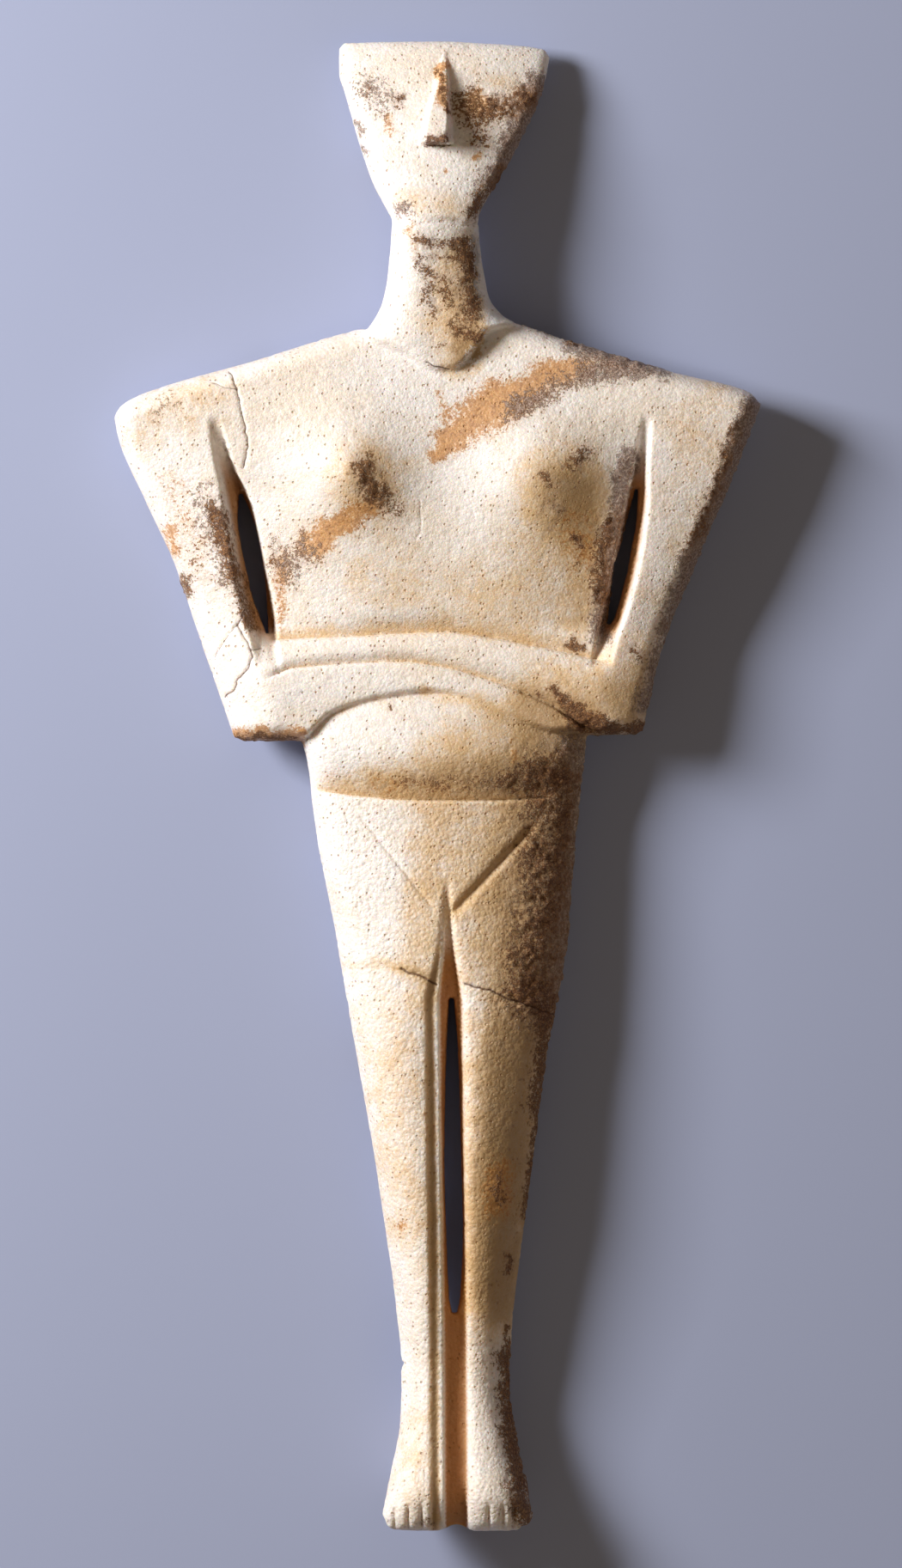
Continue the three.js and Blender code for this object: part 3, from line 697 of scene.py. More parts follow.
@dataclass(frozen=True)
class Lower(Block):
    """Belly, hips, legs and feet."""

    left: Line = line((-490, -37), (-460, -31), (-425, -25), (-390, -24), (-356, -27), (-264, -40),
                      (-171, -56), (-102, -68), (-21, -83), (14, -87), (30, -91))
    right: Line = line((-490, 64), (-437, 53), (-402, 48), (-385, 49), (-356, 51), (-275, 61),
                       (-183, 73), (-113, 86), (-44, 92), (14, 98), (30, 100))
    top: Line = line((-91, 110), (100, 110))
    bottom: Line = line((-37, -490), (-34, -496), (-28, -499), (0, -500), (13, -496), (26, -500),
                        (52, -500), (60, -497), (64, -490))
    profile: Line = line((-500, 60), (-477, 68), (-449, 59), (-420, 51), (-391, 48), (-353, 53),
                         (-310, 58), (-240, 65), (-180, 66), (-107, 64), (-60, 63), (-12, 61.5),
                         (-5, 61.5), (22, 67), (42, 64.5), (55, 60.5), (64, 55), (110, 45))
    seat: Line = line((-500, 38), (-465, 2), (-449, -1), (-430, 4), (-391, 15), (-340, 8), (-300, 6),
                      (-240, 9), (-200, 8), (-120, 3), (-75, -1), (-40, -1), (0, 3), (31, 6), (110, 6))
    edge: float = 19
    top_edge: float = 12
    sole_edge: float = 8
    ridge_left: Line = line((-500, 0.3), (-350, 0.4), (-190, 0.38), (-60, 0.1), (110, 0.1))
    ridge_right: Line = line((-500, 0.3), (-420, 0.22), (-350, 0.2), (-250, 0.16), (-140, 0.06),
                             (-60, 0), (110, 0))
    fall_left: Line = line((-500, 8), (-400, 15), (-350, 18), (-190, 20), (-60, 17), (30, 14), (110, 10))
    fall_right: Line = line((-500, 9), (-400, 18), (-350, 21), (-190, 24), (-60, 26), (30, 24), (110, 12))
    lift: float = 9
    waist: Line = line((-90, -2), (-51, -7), (-5, -10), (35, -10), (95, -7))
    waist_deepest: float = 4.4
    waist_depth: Line = line((-86, 0), (-70, 4.4), (60, 4.4), (80, 0))
    waist_slope: float = 16
    waist_step: float = 1.6
    # Reach and step of the ochre dirt and painted shade on the slope above the waist line
    dirt_and_shade_reach: float = 26
    dirt_and_shade_step: float = 0.6
    cleft: Cleft = Cleft()
    groin: tuple[Incision, ...] = (
        Incision((-53, -19), (-3, -82), 1.4, 1.3),
        Incision((66, -26), (10, -86), 3.2, 2.6),
    )
    toe_cuts: tuple[float, ...] = (-28.5, -19.5, -10.5, -2.5, 34.5, 44, 51.5)
    toe_from: float = -479
    toe_end: float = -497
    toe_fade: float = 9
    toe_depth: float = 3.2
    toe_width: float = 1.2

    def edges(self, x: np.ndarray, y: np.ndarray) -> tuple[np.ndarray | float, ...]:
        """Full, soft sides and a tighter sole."""
        return self.edge, self.edge, self.top_edge, self.sole_edge

    def toes(self, x: np.ndarray, y: np.ndarray) -> np.ndarray:
        """Depth of the cuts between the toes."""
        cuts = np.sum([np.exp(-((x - cut) / self.toe_width) ** 2) for cut in self.toe_cuts], axis=0)
        return self.toe_depth * cuts * smooth_step(0, self.toe_fade, self.toe_from - y)

    def settled_dirt_and_shade(self, x: np.ndarray, y: np.ndarray) -> np.ndarray:
        """How much dirt and painted shade lie above the waist line at each place, on the slope that faces
        away from the key light.

        Args:
            x: Places across.
            y: Places along.

        Returns:
            The value at each place.
        """
        away = y - self.waist(x)
        dirt_and_shade = np.where(away > -self.dirt_and_shade_step, notch(away, self.dirt_and_shade_reach, self.dirt_and_shade_step), 0)
        return dirt_and_shade * self.waist_depth(x) / self.waist_deepest

    def front(self, x: np.ndarray, y: np.ndarray) -> np.ndarray:
        """The profile, less the fall to the sides, waist line, groin lines, cleft and toe cuts.

        Args:
            x: Places across.
            y: Places along.

        Returns:
            The value at each place.
        """
        across = self.share_across(x, y)
        ridge = np.where(across < 0, self.ridge_left(y), self.ridge_right(y))
        outer = np.clip((np.abs(across) - ridge) / (1 - ridge), 0, 1)
        fall = np.where(across < 0, self.fall_left(y), self.fall_right(y)) * outer ** 2
        waist = self.waist_depth(x) * notch(y - self.waist(x), self.waist_slope, self.waist_step)
        groin = np.sum([cut.depth_at(x, y) for cut in self.groin], axis=0)
        cleft = self.cleft.front_depth(y) * self.cleft.share(x, y)
        return self.profile(y) - fall - waist - groin - cleft - self.toes(x, y)

    def back(self, x: np.ndarray, y: np.ndarray) -> np.ndarray:
        """The seat's profile plus the lift at the sides and the cleft."""
        lift = self.lift * np.abs(self.share_across(x, y)) ** 3
        return self.seat(y) + lift + self.cleft.back_depth(y) * self.cleft.share(x, y)


@dataclass(frozen=True)
class SlotHole:
    """An open slot that pierces the figure between two lines."""

    start: float
    end: float
    left: Line
    right: Line
    edge: float = 1.6
    points_a_side: int = 120

    def loop(self) -> np.ndarray:
        """Its outline as places, up the left line and down the right one, with the stone outside.

        Returns:
            The places as rows.
        """
        along = np.linspace(self.start, self.end, self.points_a_side)
        up = np.stack([self.left(along), along], axis=1)
        down = np.stack([self.right(along), along], axis=1)[::-1]
        return np.concatenate([up, down])


class Kind(Enum):
    """The kinds of discolouration and deposit on the stone; ochre also paints shade where the form turns
    from the key light, and pale also paints a highlight on the neck's right rim.
    """

    OCHRE = "ochre"
    RUST = "rust"
    BROWN = "brown"
    VIOLET = "violet"
    PALE = "pale"


OCHRE, RUST, BROWN, VIOLET, PALE = Kind


@dataclass(frozen=True)
class Stain:
    """A stain or crust along a path of one or more points, wide across and soft at its edge."""

    kind: Kind
    amount: float
    reach: float
    path: tuple[tuple[float, float], ...]
    flat: float = 1.0

    def mask(self, x: np.ndarray, y: np.ndarray) -> np.ndarray:
        """The amount times exp(-(distance / reach)^2), with distances along it stretched by flat.

        Args:
            x: Places across.
            y: Places along.

        Returns:
            The value at each place.
        """
        points = np.array(self.path, dtype=float)
        stretched = points * (1, self.flat)
        if len(points) == 1:
            away = np.hypot(x - stretched[0, 0], y * self.flat - stretched[0, 1])
        else:
            away = distance_to_path(x, y * self.flat, stretched)
        return self.amount * np.exp(-((away / self.reach) ** 2))


@dataclass(frozen=True)
class Crack:
    """An old break or crack along a path, cut into the surface."""

    depth: float
    width: float
    path: tuple[tuple[float, float], ...]
    wander: float = 0.9
    rows: tuple[float, ...] = (-0.75, 0.0, 0.75)
    step: float = 1.6
    wander_cell: float = 3.2
    wander_seeds: tuple[int, int] = (41, 42)

    def trail(self) -> np.ndarray:
        """The path as close points, shifted by noise so that it runs raggedly.

        Returns:
            The points as rows.
        """
        places = spaced(np.array(self.path, dtype=float), self.step)
        flat = np.column_stack([places, np.zeros(len(places))])
        shifts = [value_noise(flat, self.wander_cell, seed) for seed in self.wander_seeds]
        return places + self.wander * np.stack(shifts, axis=1)

    def depth_at(self, x: np.ndarray, y: np.ndarray) -> np.ndarray:
        """The depth times exp(-(distance / width)^2)."""
        away = distance_to_path(x, y, self.trail())
        return self.depth * np.exp(-(away / self.width) ** 2)


# Each row gives the kind, amount, reach and path, and last how much the stain is flattened
STAINS: tuple[Stain, ...] = tuple(Stain(*row) for row in (
    # Broad warm patina; on the right arm, hip and leg and the neck's right side it is also painted shade
    # where they turn from the key light
    (OCHRE, 0.30, 18, ((204, 215), (184, 150), (162, 95), (148, 50))),
    (OCHRE, 0.20, 28, ((190, 262), (160, 150), (140, 60))),
    (OCHRE, 0.34, 24, ((-190, 246), (-156, 262))),
    (VIOLET, 0.3, 16, ((-182, 250),)),
    (OCHRE, 0.8, 22, ((54, -170), (48, -250), (42, -330), (42, -352))),
    (OCHRE, 0.7, 26, ((84, 30), (80, -40), (70, -110), (62, -160))),
    (OCHRE, 0.6, 16, ((100, 200), (102, 150), (96, 112))),
    (OCHRE, 0.4, 9, ((50, -400), (54, -450))),
    (OCHRE, 0.3, 12, ((40, 452), (50, 462))),
    (OCHRE, 0.15, 14, ((-20, -150), (-14, -240), (-8, -340))),
    (OCHRE, 0.3, 7, ((-62, -120), (-36, -120), (-6, -128)), 1.2),
    (OCHRE, 0.7, 18, ((38, -180), (36, -260), (36, -335))),
    (OCHRE, 0.42, 17, ((-4, -20), (-12, -90), (-10, -135))),
    (OCHRE, 0.7, 14, ((20, 356), (20, 320), (18, 296))),
    (VIOLET, 0.4, 22, ((72, -60), (62, -142))),
    (BROWN, 0.36, 22, ((62, -70), (50, -140))),
    (BROWN, 0.4, 24, ((74, 16), (70, -40))),
    # Head: left cheek
    (VIOLET, 0.42, 16, ((-46, 466), (-36, 460))),
    (BROWN, 0.32, 14, ((-46, 466), (-34, 458))),
    (BROWN, 0.6, 5, ((-26, 457), (-24, 462))),
    (VIOLET, 0.6, 3, ((-55, 446), (-53, 440), (-51, 437))),
    (VIOLET, 0.6, 3, ((-49, 428), (-48, 424))),
    (RUST, 0.55, 6, ((-33, 446), (-31, 438))),
    (VIOLET, 0.66, 7, ((-24, 385),)),
    (RUST, 0.35, 6, ((-20, 374), (-14, 360))),
    (OCHRE, 0.35, 16, ((-20, 392), (10, 385)), 1.6),
    # Head: nose and right cheek
    (RUST, 0.95, 4.6, ((3.5, 482), (4, 456))),
    (BROWN, 0.8, 3.4, ((3.5, 479), (5, 452))),
    (BROWN, 1.0, 6, ((-5, 432), (4, 433)), 1.3),
    (BROWN, 0.9, 1.6, ((5, 493),)),
    (BROWN, 0.68, 11, ((20, 464), (24, 450), (28, 436))),
    (RUST, 0.5, 12, ((24, 460), (28, 440))),
    (RUST, 0.66, 12, ((26, 456), (52, 458)), 1.3),
    (BROWN, 0.75, 10, ((36, 452), (62, 461)), 1.1),
    (VIOLET, 0.95, 11, ((66, 468), (59, 447), (48, 425), (38, 407))),
    (VIOLET, 0.7, 10, ((40, 458), (52, 456))),
    (BROWN, 0.75, 7, ((42, 412), (33, 396), (22, 382))),
    (OCHRE, 0.22, 9, ((26, 478), (40, 472)), 1.3),
    (RUST, 0.8, 2.4, ((24, 421), (27, 422))),
    (RUST, 0.7, 2, ((6, 413),)),
    # Neck and its tongue
    (BROWN, 0.74, 5, ((-12, 366), (4, 364), (16, 366)), 1.2),
    (BROWN, 0.6, 4, ((-10, 354), (0, 356), (12, 352)), 1.2),
    (BROWN, 0.55, 4, ((-7, 346), (0, 340), (10, 339))),
    (BROWN, 0.66, 5, ((-6, 334), (-8, 326), (-3, 318))),
    (BROWN, 0.6, 5, ((-12, 352), (-10, 342))),
    (BROWN, 0.62, 5, ((4, 332), (8, 322))),
    # Brown and ochre down the neck's right half: stains, and painted shade where the neck turns from the
    # key light
    (BROWN, 0.85, 9, ((20, 360), (20, 340), (22, 318))),
    (OCHRE, 0.38, 14, ((4, 350), (2, 310))),
    (BROWN, 0.75, 8, ((14, 305), (24, 303))),
    # Ochre beside the tongue's tip: painted shadow cast by the tongue on the chest
    (OCHRE, 0.95, 12, ((20, 298), (16, 286))),
    (BROWN, 0.45, 4, ((0, 296), (8, 293))),
    # Pale strip along the neck's right edge: partly a pale deposit, partly a painted rim highlight
    (PALE, 0.85, 5, ((27, 370), (28, 345), (34, 322), (38, 308), (28, 290), (16, 280))),
    # Chest: orange band and crust from the throat to the right shoulder
    (RUST, 0.9, 6, ((-1, 223), (12, 233))),
    (RUST, 1.0, 14, ((12, 234), (26, 248), (42, 257))),
    (RUST, 0.95, 12, ((42, 258), (62, 266), (84, 276))),
    (RUST, 0.6, 8, ((84, 277), (110, 286), (130, 285))),
    (VIOLET, 0.62, 9, ((50, 252), (76, 264), (100, 275), (136, 281))),
    (RUST, 0.35, 9, ((50, 254), (76, 265), (100, 276))),
    (VIOLET, 0.5, 10, ((90, 294), (120, 288), (148, 278))),
    (RUST, 0.42, 5, ((2, 262), (6, 250))),
    (BROWN, 0.7, 3.5, ((48, 314), (70, 306), (92, 298))),
    (VIOLET, 0.45, 6, ((92, 298), (120, 289), (150, 280))),
    (OCHRE, 0.2, 30, ((176, 244),)),
    # Chest: left breast and its streaks
    # Ochre over the left breast's right flank: stain, and painted shade where it turns from the key light
    (OCHRE, 0.7, 26, ((-46, 205),)),
    (BROWN, 0.85, 11, ((-50, 212), (-43, 198))),
    (BROWN, 0.6, 9, ((-38, 192), (-30, 186))),
    (RUST, 0.95, 9, ((-44, 187), (-54, 182), (-68, 172), (-84, 160))),
    (VIOLET, 0.55, 13, ((-90, 156), (-102, 147))),
    (RUST, 0.5, 12, ((-88, 158), (-102, 150))),
    (RUST, 0.65, 6, ((-103, 150), (-105, 132), (-106, 114))),
    (BROWN, 0.45, 5, ((-106, 172), (-112, 150))),
    # Chest: right breast and right edge
    (OCHRE, 0.75, 24, ((78, 205),)),
    (BROWN, 0.85, 6, ((90, 217), (99, 221))),
    (BROWN, 0.8, 4, ((70, 208), (74, 202))),
    (BROWN, 0.55, 5, ((73, 190), (82, 184))),
    (OCHRE, 0.65, 30, ((86, 176),), 1.1),
    (RUST, 0.5, 20, ((96, 168), (104, 150))),
    (BROWN, 0.8, 4, ((90, 166), (94, 164))),
    (BROWN, 0.7, 3.5, ((93, 147),)),
    (VIOLET, 0.95, 7, ((127, 222), (121, 190), (116, 160), (113, 130), (108, 102))),
    (BROWN, 0.8, 8, ((116, 180), (111, 160), (108, 125))),
    (BROWN, 0.85, 5, ((88, 95), (98, 92)), 1.2),
    # Middle of the chest, and below the waist line
    (OCHRE, 0.4, 30, ((60, 130),)),
    (OCHRE, 0.3, 34, ((-40, 140), (20, 126))),
    (OCHRE, 0.35, 24, ((10, -30), (30, -50), (14, -70))),
    # Arms
    (VIOLET, 0.5, 13, ((-155, 190), (-147, 168), (-139, 140))),
    (RUST, 0.3, 24, ((-172, 196), (-156, 150))),
    (BROWN, 0.85, 7, ((-151, 190), (-145, 168), (-138, 148), (-130, 124), (-124, 108))),
    (BROWN, 0.8, 5, ((-170, 138), (-168, 130))),
    (RUST, 0.6, 4, ((-181, 172), (-177, 158))),
    (BROWN, 0.35, 12, ((-165, 160), (-156, 128))),
    (VIOLET, 1.0, 12, ((212, 250), (198, 205), (180, 163), (165, 122), (156, 88), (146, 56))),
    (BROWN, 0.6, 6, ((200, 240), (186, 196), (170, 160))),
    (BROWN, 0.7, 5, ((132, 91), (135, 84))),
    (OCHRE, 0.5, 30, ((152, 70), (140, 50))),
    # Ochre at the right end of the forearms: stain, and painted shade where they turn down and to the
    # right, away from the key light
    (OCHRE, 0.5, 20, ((78, 68), (96, 66), (118, 66))),
    (OCHRE, 0.75, 15, ((60, 56), (78, 50), (98, 47))),
    # Rust and brown under the left forearm's lower edge: stain, and painted shade under the edge
    (RUST, 1.0, 6, ((-134, 33), (-114, 32), (-92, 32))),
    (BROWN, 0.8, 4, ((-132, 32), (-114, 31), (-94, 31))),
    # Brown and rust under the right end of the forearms: stain, and painted shade under the overhanging
    # edge
    (BROWN, 1.0, 8, ((96, 42), (112, 38), (136, 37)), 1.2),
    (RUST, 0.35, 9, ((88, 50), (110, 44))),
    (BROWN, 0.8, 7, ((84, 56), (98, 46), (112, 42))),
    (BROWN, 0.9, 4, ((76, 66), (82, 60), (87, 54))),
    (BROWN, 0.7, 2.5, ((66, 63), (70, 60))),
    # Grooves over the belly: ochre stain, and painted shade on the slopes above the steps
    (OCHRE, 0.3, 6, ((-106, 103), (-60, 105), (0, 107), (40, 103), (90, 94)), 1.2),
    (OCHRE, 0.3, 4, ((-84, 40), (-45, 57), (-5, 62))),
    (OCHRE, 0.5, 5, ((-5, 62), (30, 56), (66, 41))),
    # Belly: stains, which above the waist line and on the right side also paint shade where the belly
    # turns from the key light
    (OCHRE, 0.62, 13, ((-40, 4), (-10, 5), (30, 5), (70, 6)), 1.1),
    (OCHRE, 0.55, 26, ((10, 22), (60, 26))),
    (RUST, 0.42, 9, ((-40, 2), (-8, 1), (14, 0)), 1.2),
    (BROWN, 0.48, 9, ((-20, 3), (30, 2))),
    (BROWN, 0.6, 11, ((44, 2), (78, 4)), 1.1),
    (BROWN, 0.85, 2.2, ((-30, 52),)),
    (BROWN, 0.8, 2, ((-71, 32),)),
    (RUST, 0.5, 3, ((50, 28), (51, 14))),
    # Right hip and thigh
    (VIOLET, 0.75, 15, ((90, 22), (88, -20), (84, -70), (80, -110), (74, -150))),
    (BROWN, 0.62, 20, ((80, 0), (76, -60), (72, -100), (68, -138))),
    # Ochre on the right thigh: stain, and painted shade where it turns from the key light
    (OCHRE, 0.65, 36, ((58, -20), (50, -80), (52, -120))),
    (BROWN, 0.9, 10, ((60, -140), (70, -148))),
    (BROWN, 0.78, 5, ((73, -160), (70, -200), (65, -245), (59, -290))),
    (BROWN, 0.5, 10, ((70, -165), (64, -215))),
    (OCHRE, 0.5, 4, ((60, -28), (12, -82))),
    # Right leg and foot
    (RUST, 0.8, 11, ((42, -262), (40, -282)), 0.9),
    (OCHRE, 0.6, 16, ((40, -262), (38, -286))),
    (BROWN, 0.6, 7, ((41, -264), (42, -278))),
    (BROWN, 0.85, 5, ((47, -318), (47, -326))),
    (BROWN, 0.8, 4, ((46, -362), (47, -374))),
    (BROWN, 0.95, 10, ((47, -384), (47, -408), (49, -434), (53, -458), (57, -480))),
    (VIOLET, 0.8, 6, ((49, -400), (53, -440), (58, -470))),
    (BROWN, 1.0, 9, ((58, -484), (60, -494))),
    # Ochre on the right leg: stain, and painted shade where it turns from the key light
    (OCHRE, 0.4, 22, ((44, -230), (40, -330))),
    # Left leg
    (RUST, 0.6, 4, ((-24, -295),)),
    (OCHRE, 0.35, 26, ((-40, -160), (-20, -290))),
    (OCHRE, 0.35, 16, ((-14, -430), (-18, -470))),
    (OCHRE, 0.5, 3, ((-26, -123), (-4, -130))),
    (BROWN, 0.5, 4, ((-8, -490), (-4, -496))),
))


@dataclass(frozen=True)
class Chip:
    """A small bite out of the outline."""

    across: float
    along: float
    depth: float
    reach: float

    def bite(self, loop: np.ndarray) -> np.ndarray:
        """How far inwards it moves points: the depth times exp(-(distance / reach)^2)."""
        away = np.hypot(loop[:, 0] - self.across, loop[:, 1] - self.along)
        return self.depth * np.exp(-(away / self.reach) ** 2)


CHIPS: tuple[Chip, ...] = (
    Chip(-24.5, -388, 1.9, 1.8),
    Chip(-35, -492, 1.2, 3),
    Chip(50, -386, 1.0, 1.5),
    Chip(-138, 276, 0.9, 1.2),
    Chip(178, 138, 1.2, 3),
    Chip(196, 185, 1.0, 2.5),
    Chip(58, -499, 1.6, 4),
)

CRACKS: tuple[Crack, ...] = (
    # Under the chin
    Crack(0.5, 0.6, ((-24, 368), (-12, 376), (-4, 377.5), (8, 377), (14, 375), (27, 377))),
    # Tip of the tongue
    Crack(1.1, 0.7, ((-8, 283), (0, 280), (8, 278))),
    # Left shoulder
    Crack(1.1, 0.65, ((-140, 279), (-137, 273), (-134, 265), (-131, 251), (-127, 231), (-130, 213))),
    Crack(0.8, 0.6, ((-134, 265), (-142, 266), (-150, 270))),
    # Left elbow
    Crack(1.3, 0.7, ((-129, 119), (-134, 107), (-125, 91), (-124, 86), (-127, 79), (-135, 70),
                     (-137, 63), (-143, 59))),
    Crack(0.8, 0.6, ((-134, 107), (-143, 98), (-150, 86))),
    Crack(0.8, 0.6, ((-125, 91), (-118, 92))),
    # Across the thighs
    Crack(0.3, 0.7, ((-66, -124), (-40, -122), (-26, -123))),
    Crack(1.5, 0.8, ((-24, -122), (-18, -126), (-10, -128), (-1, -133))),
    Crack(1.3, 0.8, ((18, -133), (30, -136), (38, -139), (53, -145), (67, -149), (78, -154))),
    # Left ankle
    Crack(0.3, 0.7, ((-24, -388), (-16, -388))),
    # Fine crack on the chest
    Crack(0.5, 0.5, ((-12, 190), (-11, 170), (-13, 166))),
)


@dataclass
class Plan:
    """Where the mesh has its points: on the outline, in rows beside it and on a lattice inside."""

    blocks: tuple[Block, ...]
    holes: tuple[SlotHole, ...]
    step: float = 1.5
    fine_step: float = 0.25
    corner_softness: float = 1.6
    rows: tuple[float, ...] = (0.2, 0.8, 1.8)
    row_clear: float = 0.92
    crease_clear: float = 2.4
    half_width: float = 222
    half_length: float = 502
    loops: list[np.ndarray] = field(default_factory=list)

    def outline(self) -> np.ndarray:
        """The figure's outline as one loop, to the left down from the crown and up on the right.

        Returns:
            The outline's places as rows.
        """
        head, neck, chest, lower = self.blocks

        def along(curve: Line, start: float, end: float) -> np.ndarray:
            """Places on a side line, which gives a place across for each place along."""
            at = np.linspace(start, end, 160)
            return np.stack([curve(at), at], axis=1)

        def across(curve: Line, start: float, end: float) -> np.ndarray:
            """Places on a top or bottom line, which gives a place along for each place across."""
            at = np.linspace(start, end, 400)
            return np.stack([at, curve(at)], axis=1)

        return np.concatenate([
            along(head.left, 495, 376), along(neck.left, 372, 306), across(chest.top, -54, -217),
            along(chest.left, 248, 32), across(chest.bottom, -136, -92), along(lower.left, 29, -490),
            across(lower.bottom, -37, 64), along(lower.right, -490, 33), across(chest.bottom, 101, 137),
            along(chest.right, 37, 256), across(chest.top, 217, 57), along(neck.right, 308, 372),
            along(head.right, 376, 489), across(head.top, 76, -66),
        ])

    def even(self, loop: np.ndarray) -> np.ndarray:
        """Softens a closed loop with a moving average, spaces it evenly and chips it.

        Args:
            loop: The loop's points as rows.

        Returns:
            The new points.
        """
        fine = self.respaced(loop, self.fine_step)
        width = int(self.corner_softness / self.fine_step) // 2 * 2 + 1
        kernel = np.hanning(width + 2)[1:-1]
        kernel = kernel / kernel.sum()
        padded = np.concatenate([fine[-width:], fine, fine[:width]])
        soft = np.stack([np.convolve(padded[:, i], kernel, "same") for i in (0, 1)], axis=1)
        loop = self.respaced(soft[width:-width], self.step)
        bites = np.sum([chip.bite(loop) for chip in CHIPS], axis=0)
        return loop + self.inward(loop) * bites[:, None]

    @staticmethod
    def inward(loop: np.ndarray) -> np.ndarray:
        """Directions into the stone at a loop's points.

        Args:
            loop: The loop's points as rows.

        Returns:
            A direction of length 1 for each point.
        """
        turn = np.roll(loop, -1, axis=0) - np.roll(loop, 1, axis=0)
        normal = np.stack([-turn[:, 1], turn[:, 0]], axis=1)
        return normal / np.hypot(*normal.T)[:, None]

    @staticmethod
    def respaced(loop: np.ndarray, step: float) -> np.ndarray:
        """A closed loop's points, spaced evenly along its length.

        Args:
            loop: The loop's points as rows.
            step: About how far apart the new points are.

        Returns:
            The new points.
        """
        closed = np.concatenate([loop, loop[:1]])
        runs = np.hypot(*np.diff(closed, axis=0).T)
        length = np.concatenate([[0], np.cumsum(runs)])
        count = max(int(round(length[-1] / step)), 8)
        at = np.linspace(0, length[-1], count, endpoint=False)
        return np.stack([np.interp(at, length, closed[:, i]) for i in (0, 1)], axis=1)

    def build(self) -> None:
        """Works out the outline's and the slots' loops."""
        self.loops = [self.even(self.outline())] + [self.even(hole.loop()) for hole in self.holes]

    def inside(self, x: np.ndarray, y: np.ndarray) -> np.ndarray:
        """How far inside the stone's plan a place lies, slots left out.

        Args:
            x: Places across.
            y: Places along.

        Returns:
            The way to the nearest outline line, below zero outside the stone.
        """
        stone = np.maximum.reduce([block.inside(x, y) for block in self.blocks])
        for hole in self.holes:
            reach = np.minimum(x - hole.left(y), hole.right(y) - x)
            pierced = (reach > 0) & (y > hole.start) & (y < hole.end)
            stone = np.where(pierced, -1.0, stone)
        return stone

    def to_edge(self, x: np.ndarray, y: np.ndarray, loops: list[np.ndarray]) -> np.ndarray:
        """The shortest way from places to the points of the given loops.

        Args:
            x: Places across.
            y: Places along.
            loops: The loops' points as rows.

        Returns:
            The distance of each place.
        """
        edge = np.concatenate(loops).astype(np.float32)
        best = np.empty(len(x), dtype=np.float32)
        for part in np.array_split(np.arange(len(x)), max(len(x) // BATCH, 1)):
            dx = x[part, None].astype(np.float32) - edge[None, :, 0]
            dy = y[part, None].astype(np.float32) - edge[None, :, 1]
            best[part] = np.sqrt((dx * dx + dy * dy).min(axis=1))
        return best

    def beside(self, rows: tuple[float, ...], every: int) -> np.ndarray:
        """Points in rows beside every loop, at the given distances into the stone.

        Args:
            rows: How far into the stone each row lies.
            every: Each row keeps one in so many of its points.

        Returns:
            The points as rows, without those that crowd another loop.
        """
        found = []
        for loop in self.loops:
            normal = self.inward(loop)
            for number, row in enumerate(rows):
                start = number % every
                shifted = (loop + normal * row)[start::every]
                away = self.to_edge(shifted[:, 0], shifted[:, 1], self.loops)
                found.append(shifted[away > row * self.row_clear])
        return np.concatenate(found)

    def crisp(self, lines: tuple[tuple[np.ndarray, tuple[float, ...]], ...]) -> np.ndarray:
        """Points in rows beside inner lines, so that creases and steps stay sharp.

        Args:
            lines: For each line its places, and how far to its left each row lies.

        Returns:
            The points that lie well inside the stone.
        """
        found = []
        for path, rows in lines:
            places = spaced(path, self.step)
            turn = np.gradient(places, axis=0)
            turn /= np.hypot(*turn.T)[:, None]
            normal = np.stack([-turn[:, 1], turn[:, 0]], axis=1)
            found += [places + normal * row for row in rows]
        places = np.concatenate(found)
        kept = (self.inside(*places.T) > 0) & (self.to_edge(*places.T, self.loops) > self.crease_clear)
        return places[kept]

    def lattice(self, pitch: float, clear: float) -> np.ndarray:
        """Points of a triangular lattice inside the stone, clear of its edge.

        Args:
            pitch: How far apart the points are.
            clear: How far from the edge the nearest of them lie.

        Returns:
            The points as rows.
        """
        across = np.arange(-self.half_width, self.half_width, pitch)
        along = np.arange(-self.half_length, self.half_length, pitch * math.sqrt(3) / 2)
        x, y = np.meshgrid(across, along)
        x[1::2] += pitch / 2
        x, y = x.ravel(), y.ravel()
        kept = self.inside(x, y) > 0
        x, y = x[kept], y[kept]
        away = self.to_edge(x, y, self.loops)
        return np.stack([x, y], axis=1)[away > clear]

    def triangles(self, inner: np.ndarray) -> np.ndarray:
        """Joins the loops' points and inner points into triangles that keep to the stone.

        Args:
            inner: The points inside.

        Returns:
            Rows of three indices, into the loops' points and then the inner points.
        """
        rim = np.concatenate(self.loops)
        points = np.concatenate([rim, inner])
        edges, start = [], 0
        for loop in self.loops:
            ids = np.arange(start, start + len(loop))
            edges.append(np.stack([ids, np.roll(ids, -1)], axis=1))
            start += len(loop)
        made = delaunay_2d_cdt(points.tolist(), np.concatenate(edges).tolist(), [], 0, 1e-7)
        source = np.array([ids[0] for ids in made[3]])
        faces = source[np.array(made[2])]
        good = ~(faces < len(rim)).all(axis=1)
        good[~good] = self.held(points[faces[~good]].mean(axis=1))
        return faces[good]

    def held(self, places: np.ndarray) -> np.ndarray:
        """Tests whether places lie in the stone.

        Those do from which a ray to the right crosses the loops an odd number of times.

        Args:
            places: The places as rows.

        Returns:
            True for each place in the stone.
        """
        crossings = np.zeros(len(places), dtype=int)
        for loop in self.loops:
            (x0, y0), (x1, y1) = loop.T, np.roll(loop, -1, axis=0).T
            spans = (y0 > places[:, 1:]) != (y1 > places[:, 1:])
            run = np.where(y1 == y0, 1.0, y1 - y0)
            at = x0 + (places[:, 1:] - y0) * (x1 - x0) / run
            crossings += (spans & (places[:, :1] < at)).sum(axis=1)
        return crossings % 2 == 1


